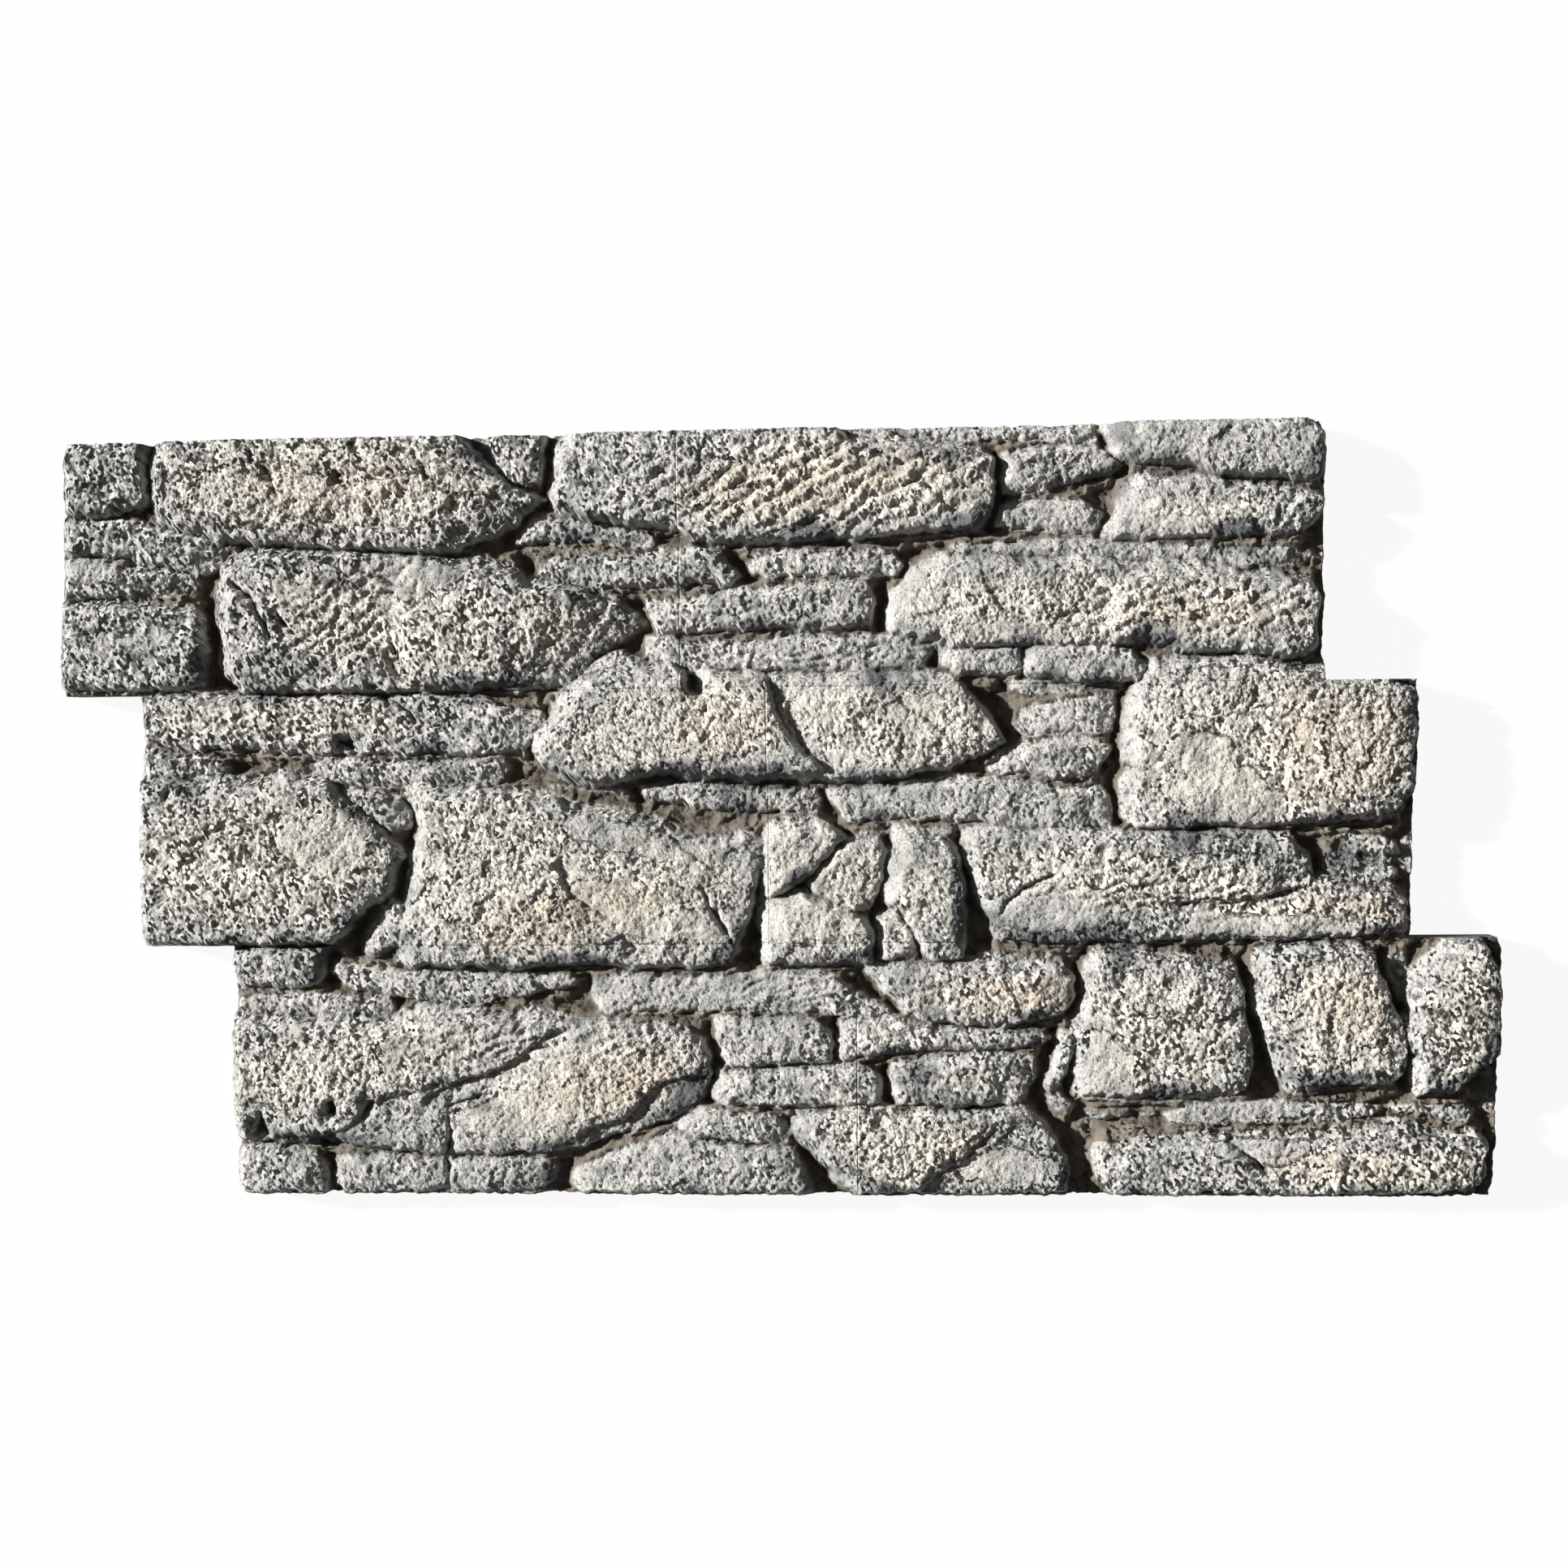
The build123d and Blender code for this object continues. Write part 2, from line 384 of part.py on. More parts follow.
stone(-1, 10, (0, 0), [(-145, -282), (-122, -270), (-100, -263), (-60, -260), (0, -263), (23, -267),
      (31, -278), (35, -290), (36, -297), (-138, -297), (-148, -291)],
      (-90, -280, 140, 9), (10, -280, -10, 8), (-40, -287, -92, 9))
stone(-1, 21, (0, 0), [(-128, -160), (-100, -159), (-80, -161), (-80, -170), (-110, -171),
      (-128, -168)])

# Bottom course, the big rough stone in the middle
stone(-1, 10, (0.6, -0.5), [(32, -237), (60, -234), (100, -233), (160, -234), (200, -232),
      (213, -235), (221, -243), (229, -256), (236, -271), (237, -285), (236, -297), (77, -297),
      (63, -288), (51, -273), (41, -262), (35, -250)],
      (210, -260, 15, 9), (85, -280, 235, 14), (180, -288, -92, 9))
stone(-1, 5, (0.5, -0.8), [(36, -240), (60, -237), (100, -236), (160, -237), (196, -235),
      (205, -238), (192, -247), (178, -262), (162, -270), (141, -276), (131, -286), (122, -295),
      (80, -295), (66, -287), (54, -272), (43, -260)],
      (60, -255, 190, 9), (150, -260, -40, 9), (120, -243, 88, 7))

# Bottom course, the square stones at the right
stone(-1, 21, (0.5, 0), [(167, -107), (200, -106), (248, -107), (252, -113), (246, -118),
      (200, -118), (168, -118)])
stone(-1, 14, (-2, -1), [(236, -170), (243, -172), (246, -182), (241, -194), (236, -206),
      (230, -216), (223, -216), (226, -202), (232, -186)])
stone(-1, 17, (-1, 0), [(220, -222), (238, -223), (245, -228), (240, -236), (229, -234)])
stone(-1, 6, (0.8, -0.5), [(263, -110), (300, -113), (345, -119), (367, -124), (373, -140),
      (376, -165), (379, -195), (376, -211), (369, -217), (330, -218), (280, -219), (252, -217),
      (247, -200), (249, -175), (255, -150), (260, -125)],
      (350, -145, 25, 13), (270, -195, 205, 9), (330, -200, -80, 6), (300, -145, 85, 8),
      (355, -180, 0, 9), (288, -170, 186, 7))
stone(-1, 5, (0.8, 0.3), [(390, -113), (420, -109), (450, -111), (474, -113), (475, -125),
      (483, -140), (489, -155), (495, -165), (496, -185), (494, -200), (486, -210), (460, -211),
      (430, -212), (410, -212), (402, -200), (393, -178), (387, -150), (385, -125)],
      (398, -140, 182, 42), (406, -185, 202, 42), (475, -165, 5, 11), (440, -125, 92, 9),
      (450, -200, -90, 8), (432, -160, 188, 5))
stone(-1, 21, (0, 0), [(482, -112), (499, -106), (501, -125), (499, -145), (496, -153), (490, -147),
      (486, -138), (481, -122)])
stone(-1, 4, (0.5, 0), [(535, -104), (558, -104), (565, -118), (569, -130), (571, -148), (571, -189),
      (556, -200), (545, -209), (533, -216), (511, -216), (505, -205), (508, -195), (502, -180),
      (504, -165), (503, -150), (510, -136), (520, -125), (530, -113)],
      (522, -135, 142, 20), (555, -190, -52, 20), (558, -160, 0, 9))

# Bottom course, the thin strips and the long stones below them
stone(-1, 22, (0, 1), [(250, -234), (258, -229), (300, -227), (316, -229), (312, -237),
      (262, -240)])
stone(-1, 19, (0.4, -1), [(312, -235), (330, -226), (350, -224), (400, -225), (450, -227),
      (470, -229), (480, -234), (472, -240), (455, -242), (400, -242), (340, -244), (317, -244)],
      (400, -234, -92, 15), (322, -236, 160, 12))
stone(-1, 20, (0, -1), [(488, -227), (500, -225), (545, -226), (556, -230), (556, -239), (545, -242),
      (500, -238), (488, -234)])
stone(-1, 10, (0.3, -0.5), [(263, -263), (290, -257), (330, -251), (400, -250), (452, -251),
      (468, -262), (478, -297), (277, -297), (269, -288), (263, -276)],
      (380, -266, 92, 22), (290, -280, 200, 10), (370, -288, -92, 8))
stone(-1, 7, (0.4, 0), [(449, -253), (500, -251), (555, -252), (566, -259), (564, -269), (565, -281),
      (556, -291), (540, -295), (470, -296), (440, -296), (440, -266)],
      (540, -280, -45, 12), (470, -265, 110, 9), (500, -288, -92, 8))

# Splits and broken out corners
crack(1, 22, (-431, 188), (-421, 182), (-412, 173), (-402, 155), (-398, 140))
crack(1, 18, (-393, 166), (-388, 156), (-377, 144))
crack(1, 16, (-326, 194), (-312, 189), (-290, 180))
crack(0, 20, (-312, 99), (-297, 93), (-284, 84), (-274, 74))
crack(0, 20, (-51, -57), (-42, -75), (-35, -88), (-27, -101))
crack(0, 20, (174, -84), (195, -61), (208, -53), (226, -46))
crack(-1, 22, (-250, -232), (-248, -244), (-250, -262), (-250, -297))
crack(-1, 18, (-252, -230), (-232, -224), (-212, -217))
crack(-1, 18, (368, -262), (385, -272), (389, -278), (392, -286))
pit(0, 22, (-345, 55), (-341, 64), (-328, 65), (-325, 55))
pit(0, 22, (-63, 112), (-61, 95), (-50, 93), (-47, 112))

# The backing, cut to the stepped ends, and the stones on it
left_ends = [-row * end_step - course_length / 2 for row in (1, 0, -1)]
right_ends = [x + course_length for x in left_ends]
levels = [course_height * n for n in (1.5, 0.5, -0.5, -1.5)]
with BuildPart() as stone_panel:
    with BuildSketch() as steps:
        for x0, x1, y1, y0 in zip(left_ends, right_ends, levels, levels[1:]):
            with BuildLine():
                Polyline((x0, y0), (x1, y0), (x1, y1), (x0, y1), close=True)
            make_face()
    extrude(amount=backing_thickness)
    add(stones)
    add(hollows, mode=Mode.SUBTRACT)
    add(steps.sketch)
    extrude(amount=panel_thickness, mode=Mode.INTERSECT)

stone_panel.part.label = "stone_panel"
os.makedirs("parts", exist_ok=True)
export_step(stone_panel.part, "parts/stone_panel.step")
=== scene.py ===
# %% [markdown]
# # A faux stone wall panel
# The panel is one moulded skin: three courses of dry laid stones, each course
# shifted along from the one below. It lies on its flat back and the camera looks
# down on it. The solid model gives every stone its outline, height and tilt; this
# script lays the rough crust and the paint over them.

# %% The fixed frame and the tools
import math

import bpy
import numpy as np
from mathutils import Matrix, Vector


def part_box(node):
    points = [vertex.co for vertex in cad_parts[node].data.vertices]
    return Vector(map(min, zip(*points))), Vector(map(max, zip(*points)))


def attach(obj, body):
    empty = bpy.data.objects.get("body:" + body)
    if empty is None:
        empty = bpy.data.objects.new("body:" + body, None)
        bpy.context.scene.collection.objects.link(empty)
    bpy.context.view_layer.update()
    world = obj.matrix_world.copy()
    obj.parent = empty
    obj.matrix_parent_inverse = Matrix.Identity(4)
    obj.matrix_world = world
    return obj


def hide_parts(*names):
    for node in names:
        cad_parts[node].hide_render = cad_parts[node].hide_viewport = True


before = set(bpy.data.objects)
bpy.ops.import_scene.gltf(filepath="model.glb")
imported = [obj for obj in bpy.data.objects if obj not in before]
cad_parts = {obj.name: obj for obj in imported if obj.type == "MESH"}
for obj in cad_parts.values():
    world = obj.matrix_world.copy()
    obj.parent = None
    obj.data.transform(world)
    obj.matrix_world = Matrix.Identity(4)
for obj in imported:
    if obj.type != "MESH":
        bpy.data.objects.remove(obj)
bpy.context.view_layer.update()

mm = 0.001
low, high = (np.array(corner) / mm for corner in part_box("stone_panel"))
length, width, thickness = high - low
print(f"the panel is {length:.1f} x {width:.1f} x {thickness:.1f} mm")

# %% [markdown]
# ## The net that the whole face is worked out on
# A stone face is a height for every place, so all of it can be one array: rows run up
# the wall, columns run along it. Sculpting stone by stone would give the same shape
# slowly. One net for all three courses also keeps the joints between them closed,
# because neighbouring courses share the points on their common line.

# %% Courses and net
course_length = 1000.0
courses = ("course_bottom", "course_middle", "course_top")
course_height = width / len(courses)
end_step = (length - course_length) / (len(courses) - 1)
net_x, net_y = 1.25, course_height / 160
columns = round(course_length / net_x)
rows = round(course_height / net_y)
shift = round(end_step / net_x)

def span_of(course):
    """First and last column of a course, and its first and last row. Course 0 is the
    lowest one, and it starts two shifts to the right."""
    first = (len(courses) - 1 - course) * shift
    return first, first + columns, course * rows, (course + 1) * rows

plan_x = low[0] + net_x * np.arange(columns + shift * (len(courses) - 1) + 1)
plan_y = low[1] + net_y * np.arange(rows * len(courses) + 1)
X, Y = np.meshgrid(plan_x, plan_y)
print(f"net of {X.shape[1]} x {X.shape[0]} points, {net_x} x {net_y:.2f} mm apart")

# %% [markdown]
# ## Noise
# Stone has no line that repeats, so its roughness comes from noise with a fixed seed.
# Three kinds do most of the work: soft hills, ridges made by folding the hills at
# zero, and grains, which are the distances to scattered points.

# %% Scattered numbers and soft hills
def scatter(i, j, seed):
    """A number from 0 to 1 for each whole place i, j: both are multiplied by large
    primes, mixed bit by bit, and the low bits are kept."""
    n = (i.astype(np.int64) * 73856093) ^ (j.astype(np.int64) * 19349663) ^ (seed * 83492791)
    n = ((n ^ (n >> 13)) * 1274126177) & 0x7FFFFFFF
    n = ((n ^ (n >> 15)) * 668265263) & 0x7FFFFFFF
    return ((n >> 7) & 0xFFFF) / 65535.0

def hills(x, y, size, seed):
    """Soft noise from about -1 to 1. Each corner of a square has a slope in a scattered
    direction; the four slopes' heights are blended by 6t^5 - 15t^4 + 10t^3."""
    u, v = x / size, y / size
    i, j = np.floor(u), np.floor(v)
    s, t = u - i, v - j
    def corner(a, b):
        turn = scatter(i + a, j + b, seed) * 2 * np.pi
        return np.cos(turn) * (s - a) + np.sin(turn) * (t - b)
    p, q = (w * w * w * (w * (w * 6 - 15) + 10) for w in (s, t))
    bottom = corner(0, 0) * (1 - p) + corner(1, 0) * p
    top = corner(0, 1) * (1 - p) + corner(1, 1) * p
    return (bottom * (1 - q) + top * q) * 1.5

def rough(x, y, size, seed, octaves=4, fold=False):
    """Hills on hills: each octave is half as large and 0.55 as high as the one before,
    and turned by 37 degrees. Folded, each octave is 1 - 2|hills|, which has sharp
    crests."""
    total, height = np.zeros_like(x), 1.0
    for octave in range(octaves):
        h = hills(x, y, size, seed + octave)
        total += height * (1 - 2 * np.abs(h) if fold else h)
        x, y = 0.8 * x - 0.6 * y + 31, 0.6 * x + 0.8 * y + 17
        size, height = size / 2, height * 0.55
    return total

# %% Grains
def grains(x, y, size, seed):
    """Distance from each place to the nearest and the second nearest of points
    scattered one to a square, in squares; a number from 0 to 1 that belongs to the
    nearest; and the height of a plane tilted about it."""
    i, j = np.floor(x / size), np.floor(y / size)
    near = np.full(x.shape, 9.0)
    second, own, tilt = near.copy(), np.zeros_like(near), np.zeros_like(near)
    for a in (-1, 0, 1):
        for b in (-1, 0, 1):
            px = i + a + 0.1 + 0.8 * scatter(i + a, j + b, seed)
            py = j + b + 0.1 + 0.8 * scatter(i + a, j + b, seed + 1)
            d = np.hypot(x / size - px, y / size - py)
            nearer = d < near
            second = np.where(nearer, near, np.minimum(second, d))
            own = np.where(nearer, scatter(i + a, j + b, seed + 2), own)
            turn = scatter(i + a, j + b, seed + 3) * 2 * np.pi
            plane = (x / size - px) * np.cos(turn) + (y / size - py) * np.sin(turn)
            tilt = np.where(nearer, plane, tilt)
            near = np.where(nearer, d, near)
    return near, second, own, tilt

def facets(x, y, size, seed):
    """Chipped stone from about -1 to 1: each scattered point owns the places nearest to
    it, at its own height and with its own tilt."""
    _, _, own, tilt = grains(x, y, size, seed)
    return 0.9 * (own - 0.5) + 1.5 * tilt

def ramp(value, start, end):
    """0 before start, 1 after end, and 3t^2 - 2t^3 between them."""
    t = np.clip((value - start) / (end - start), 0, 1)
    return t * t * (3 - 2 * t)

# %% Softening and steepness
def soften(field, radius):
    """The field with detail smaller than the radius in mm smoothed away: its waves are
    multiplied by exp(-2 pi^2 r^2 f^2), on a sheet mirrored past its edges."""
    edge = 48
    big = np.pad(field, edge, mode="reflect")
    fy = np.fft.fftfreq(big.shape[0], net_y)[:, None]
    fx = np.fft.rfftfreq(big.shape[1], net_x)[None, :]
    kept = np.exp(-2 * np.pi**2 * radius**2 * (fx**2 + fy**2))
    return np.fft.irfft2(np.fft.rfft2(big) * kept, big.shape)[edge:-edge, edge:-edge]

def steepness(field):
    """Rise over run of the field, the length of its gradient."""
    up, along = np.gradient(field, net_y, net_x)
    return np.hypot(up, along)

def spread_out(field, fall, reach, to_left=0.0, to_top=0.0):
    """Every high place becomes the tip of a cone: again and again each point takes the
    highest of itself and its eight neighbours less the fall over the way to them.
    The cone is flatter on its left and on its upper side by the two shares."""
    tall, wide = field.shape
    for _ in range(math.ceil(reach / net_x)):
        big = np.pad(field, 1, mode="edge")
        for a in (-1, 0, 1):
            for b in (-1, 0, 1):
                beside = big[1 + a:1 + a + tall, 1 + b:1 + b + wide]
                way = math.hypot(a * net_y, b * net_x) * (1 - to_left * b + to_top * a)
                field = np.maximum(field, beside - fall * way)
    return field

print("noise ready, for example", round(float(rough(X[:1, :5], Y[:1, :5], 20, 1)[0, 0]), 3))

# %% [markdown]
# ## Heights of the moulded stones
# The solid already holds each stone's face, worn shoulder and drafted flank. Its
# height is read by dropping every triangle onto a fine sheet of squares, as a
# renderer does with its depth buffer. A ray for each point would need a loop; this
# way all triangles are handled in whole arrays.

# %% Drop the solid's triangles on a sheet
sheet_step = 1.0  # mm between two points of the sheet

def corners_of(node):
    """The corners of the node's triangles that face up, in mm: triangles x 3 x 3."""
    mesh = node.data
    mesh.calc_loop_triangles()
    index = np.empty(len(mesh.loop_triangles) * 3, np.int32)
    mesh.loop_triangles.foreach_get("vertices", index)
    place = np.empty(len(mesh.vertices) * 3)
    mesh.vertices.foreach_get("co", place)
    tri = place.reshape(-1, 3)[index].reshape(-1, 3, 3) / mm
    a, b = tri[:, 1] - tri[:, 0], tri[:, 2] - tri[:, 0]
    return tri[a[:, 0] * b[:, 1] - a[:, 1] * b[:, 0] > 1e-3]

def height_sheet(tri):
    """Each triangle offers its height to the sheet points in its rectangle that lie
    inside it, which is where its three area shares are not negative. The highest
    offer is kept."""
    wide = int(round(length / sheet_step)) + 1
    tall = int(round(width / sheet_step)) + 1
    p = (tri[:, :, :2] - low[:2]) / sheet_step
    first = np.ceil(p.min(1) - 1e-6).astype(int)
    count = np.floor(p.max(1) + 1e-6).astype(int) - first + 1
    kept = (count > 0).all(1)
    p, first, count, z = p[kept], first[kept], count[kept], tri[kept][:, :, 2]
    number = count[:, 0] * count[:, 1]
    which = np.repeat(np.arange(len(number)), number)
    within = np.arange(number.sum()) - np.repeat(np.cumsum(number) - number, number)
    col = first[which, 0] + within % count[which, 0]
    row = first[which, 1] + within // count[which, 0]
    a, b, c = p[which, 0], p[which, 1], p[which, 2]
    def share(m, n):
        return (n[:, 0] - m[:, 0]) * (row - m[:, 1]) - (n[:, 1] - m[:, 1]) * (col - m[:, 0])
    s = np.stack([share(b, c), share(c, a), share(a, b)], 1)
    s /= s.sum(1, keepdims=True)
    inside = (s > -1e-6).all(1) & (col < wide) & (row < tall)
    sheet = np.zeros((tall, wide))
    np.maximum.at(sheet, (row[inside], col[inside]), (s[inside] * z[which[inside]]).sum(1))
    return sheet

sheet = height_sheet(corners_of(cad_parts["stone_panel"]))
print(f"sheet heights {sheet[sheet > 0].min():.1f} to {sheet.max():.1f} mm")

# %% [markdown]
# ## Worn and broken outlines
# The solid's stones have straight sides. Real ones were picked up broken, so the
# lookup into the sheet is shaken: each place reads the height a millimetre or two
# beside itself. Shaking the lookup breaks the outlines but leaves every stone
# where it lies. Past the free edges the last height inside is read again.

# %% Read the sheet through a shaken lookup
def course_at(y):
    """The course that each row belongs to."""
    return np.clip(((y - low[1]) / course_height).astype(int), 0, len(courses) - 1)

inside_edge = 1.5  # mm: where the sheet is read in place of a free edge
past_step = 3.0  # mm: how far the long edge next to a step counts as free

def read_sheet(x, y):
    """Height at any place: the mix of the four sheet points round it. A place past the
    ends of its course, or past its long edge where no other course lies next to it,
    is moved inside first."""
    own = course_at(Y)
    left = low[0] + (len(courses) - 1 - own) * end_step
    right = left + course_length
    foot = low[1] + own * course_height
    free_foot = (own == 0) | (X < left + end_step + past_step)
    free_head = (own == len(courses) - 1) | (X > right - end_step - past_step)
    y = np.where(free_foot, np.maximum(y, foot + inside_edge), y)
    y = np.where(free_head, np.minimum(y, foot + course_height - inside_edge), y)
    u = (np.clip(x, left + inside_edge, right - inside_edge) - low[0]) / sheet_step
    v = (np.clip(y, low[1] + inside_edge, high[1] - inside_edge) - low[1]) / sheet_step
    i, j = np.floor(u).astype(int), np.floor(v).astype(int)
    s, t = u - i, v - j
    return ((sheet[j, i] * (1 - s) + sheet[j, i + 1] * s) * (1 - t)
            + (sheet[j + 1, i] * (1 - s) + sheet[j + 1, i + 1] * s) * t)

shake_x = 1.9 * rough(X, Y, 26, 11, 3) + 1.4 * rough(X, Y, 8, 12, 3)
shake_y = 1.5 * rough(X, Y, 30, 13, 3) + 1.2 * rough(X, Y, 8, 14, 3)
base = soften(read_sheet(X + shake_x, Y + shake_y), 0.8)
floor_height = np.percentile(base, 1)
print(f"joint floor at {floor_height:.1f} mm, highest face {base.max():.1f} mm")

# %% [markdown]
# ## Where the face, the flanks and the joints are
# The crust is thick on the broken faces, thinner on the flanks and nearly absent in
# the joints, where the mould was smooth. Three masks say which is which. They come
# from the heights themselves, so they follow the stones if the solid changes.

# %% Distance to the nearest edge of a stone
slope = steepness(soften(base, 1.0))
above_floor = ramp(base, floor_height + 1.5, floor_height + 4.5)
outside = np.maximum(ramp(slope, 0.7, 1.2), 1 - above_floor)
reach = 24.0  # mm that the distance is followed inwards
inner = reach - spread_out(np.where(outside > 0.5, reach, 0.0), 1.0, reach)
print(f"places up to {inner.max():.0f} mm from an edge")

# %% Crumbled shoulders and sloping flanks
# A shoulder falls by its depth within its width; both change along the edge.
wide_wear = 3.5 + 3.5 * rough(X, Y, 48, 15, 3) + 2.0 * rough(X, Y, 10, 16, 3)
deep_wear = np.clip(1.2 + 2.4 * rough(X, Y, 36, 18, 3) + 1.5 * rough(X, Y, 10, 19, 3), 0.2, 6)
shoulder = deep_wear * (1 - ramp(inner, 0, np.clip(wide_wear, 2.5, 16))) ** 1.6
worn_away = np.where(outside > 0.5, deep_wear, shoulder)
worn = base - worn_away * ramp(base, floor_height, floor_height + 9)
fall = np.clip(2.8 + 1.6 * rough(X, Y, 40, 20, 3), 1.5, 5.5)
sloped = soften(spread_out(worn, fall, 16, to_left=0.55, to_top=0.15), 0.5)

# %% Masks
depth_left = spread_out(soften(base, 2.0), 0.0, 16) - sloped
joint = ramp(depth_left, 6, 11) * (1 - ramp(sloped, floor_height + 4, floor_height + 9))
flank = ramp(steepness(sloped), 0.6, 1.5)
face = (1 - 0.75 * joint) * (1 - 0.25 * flank)
rim = 1 - ramp(inner + 5 * rough(X, Y, 26, 22, 3), 0, 17)
smoothed = soften(base, 5)
curved_y = np.gradient(np.gradient(smoothed, net_y, axis=0), net_y, axis=0)
curved_x = np.gradient(np.gradient(smoothed, net_x, axis=1), net_x, axis=1)
lying = ramp(curved_y - curved_x, 0.01, 0.12)
print(f"joints {joint.mean():.0%}, flanks {flank.mean():.0%} of the face,",
      f"{(joint * lying).mean():.0%} lying joints")

# %% [markdown]
# ## The crust
# Close up the faces are popcorn rough: grains of about 3 mm with dark gaps, pits where
# air was trapped, and stretches where a flat chip came away. Grains and chips are
# pulled out along one direction, because the real ones lean the same way. Smooth
# stretches come from a slow mask.

# %% Grain, chips and pits
def turned(x, y, degrees, stretch):
    """Places turned so that x runs along the angle, with that direction shortened, so
    that whatever is drawn there comes out stretched along it."""
    a = math.radians(degrees)
    return (x * math.cos(a) + y * math.sin(a)) / stretch, -x * math.sin(a) + y * math.cos(a)

bend_x = X + 1.4 * rough(X, Y, 9, 21, 2)
bend_y = Y + 1.4 * rough(X, Y, 9, 23, 2)
gx, gy = turned(bend_x, bend_y, 66, 1.35)
near, second, own, tilt = grains(gx, gy, 3.0, 31)
plates = 0.8 * (own - 0.5) + 0.7 * tilt
clefts = 1 - ramp(second - near, 0.0, 0.3)
chipped = facets(gx + 50, gy, 6.5, 35)
pitted = ramp(rough(gx, gy, 8, 33, 3), 0.55, 1.0)
slabs = facets(X + 3 * rough(X, Y, 16, 37, 3), Y + 3 * rough(X, Y, 16, 39, 3), 17, 45)
lumps = rough(X, Y, 11, 66, 3)
leather = rough(gx, gy, 3.6, 68, 2, fold=True)
swell = rough(X, Y, 75, 71, 2)
billow = rough(X, Y, 34, 73, 3)
print(f"plates {plates.std():.2f}, chips {chipped.std():.2f}, slabs {slabs.std():.2f}")

# %% [markdown]
# ## Bedding ridges
# Some of the stones show their bedding: low slanting ridges that cross the face. They
# are listed one row a patch, with a centre, two radii and the turn of the
# patch, then the slant and the spacing of its ridges.

# %% Hand placed ridges
ragged = 0.22 * rough(X, Y, 22, 81, 3)

def patch(x, y, rx, ry, turn=0.0, soft=0.45):
    """1 inside an oval, 0 outside: the turned distance in radii, broken up by noise,
    falls off over the soft share."""
    a = math.radians(turn)
    dx, dy = X - x, Y - y
    d = np.hypot((dx * math.cos(a) + dy * math.sin(a)) / rx,
                 (dy * math.cos(a) - dx * math.sin(a)) / ry)
    return 1 - ramp(d + ragged, 1 - soft, 1 + soft)

# x, y, rx, ry, turn of the patch, slant of the ridges, spacing, height
bedding = (
    (30, 256, 150, 42, 0, 29, 12.5, 2.2),
    (330, 160, 95, 26, 0, 18, 11, 1.8),
    (-330, 165, 60, 32, 20, 35, 10, 1.5),
    (-40, 75, 60, 30, 0, 50, 10, 1.2),
    (330, -62, 120, 22, -4, 8, 8, 1.8),
    (-170, -170, 90, 22, 8, 14, 9, 1.8),
    (20, -134, 110, 16, 0, 12, 7, 1.2),
    (380, -260, 110, 14, 0, 8, 7, 1.5),
    (-20, 150, 70, 14, 0, 12, 8, 1.2),
    (60, 122, 130, 12, 0, 6, 7, 1.3),
    (-380, 74, 120, 20, 0, 10, 9, 1.2),
)
ridges = np.zeros_like(X)
waver = 5.0 * rough(X, Y, 34, 91, 4)
for x, y, rx, ry, turn, slant, spacing, tall in bedding:
    a = math.radians(slant)
    across = (Y - y) * math.cos(a) - (X - x) * math.sin(a) + waver
    wave = 1 - np.abs(((across / spacing) % 1) * 2 - 1) ** 1.5
    ridges += tall * (wave - 0.5) * patch(x, y, rx, ry, turn)
print(f"{len(bedding)} patches of ridges")

# %% [markdown]
# ## Broken ledges and hollows
# A stone splits along its bedding and leaves ledges: on one side of a ragged line
# the face lies a few millimetres lower and comes back up further off. With the
# light raking in from the left they read as dark strokes. They are listed one by one.

# %% Ledges
shaken_x = X + 1.5 * rough(X, Y, 10, 131, 3)
shaken_y = Y + 1.5 * rough(X, Y, 10, 133, 3)

def ledge(drop, spread, *path):
    """How far a face is let down beside a line: by the drop next to it, back to nothing
    at the spread, on the right hand of someone walking along it, or on the left hand
    where the drop is negative."""
    nearest, down = np.full(X.shape, 1e9), np.zeros_like(X)
    for (x0, y0), (x1, y1) in zip(path, path[1:]):
        dx, dy = x1 - x0, y1 - y0
        size = math.hypot(dx, dy)
        along = np.clip(((shaken_x - x0) * dx + (shaken_y - y0) * dy) / size**2, 0, 1)
        ex, ey = shaken_x - x0 - along * dx, shaken_y - y0 - along * dy
        d = np.hypot(ex, ey) + 1e-6
        hand = (ex * dy - ey * dx) / size * math.copysign(1, drop)
        here = (abs(drop) * ramp(hand / d, 0.2, 0.8)
                * (1 - ramp(d, 0, spread)) * ramp(hand, 0, 1.2))
        down = np.where(d < nearest, here, down)
        nearest = np.minimum(nearest, d)
    return down

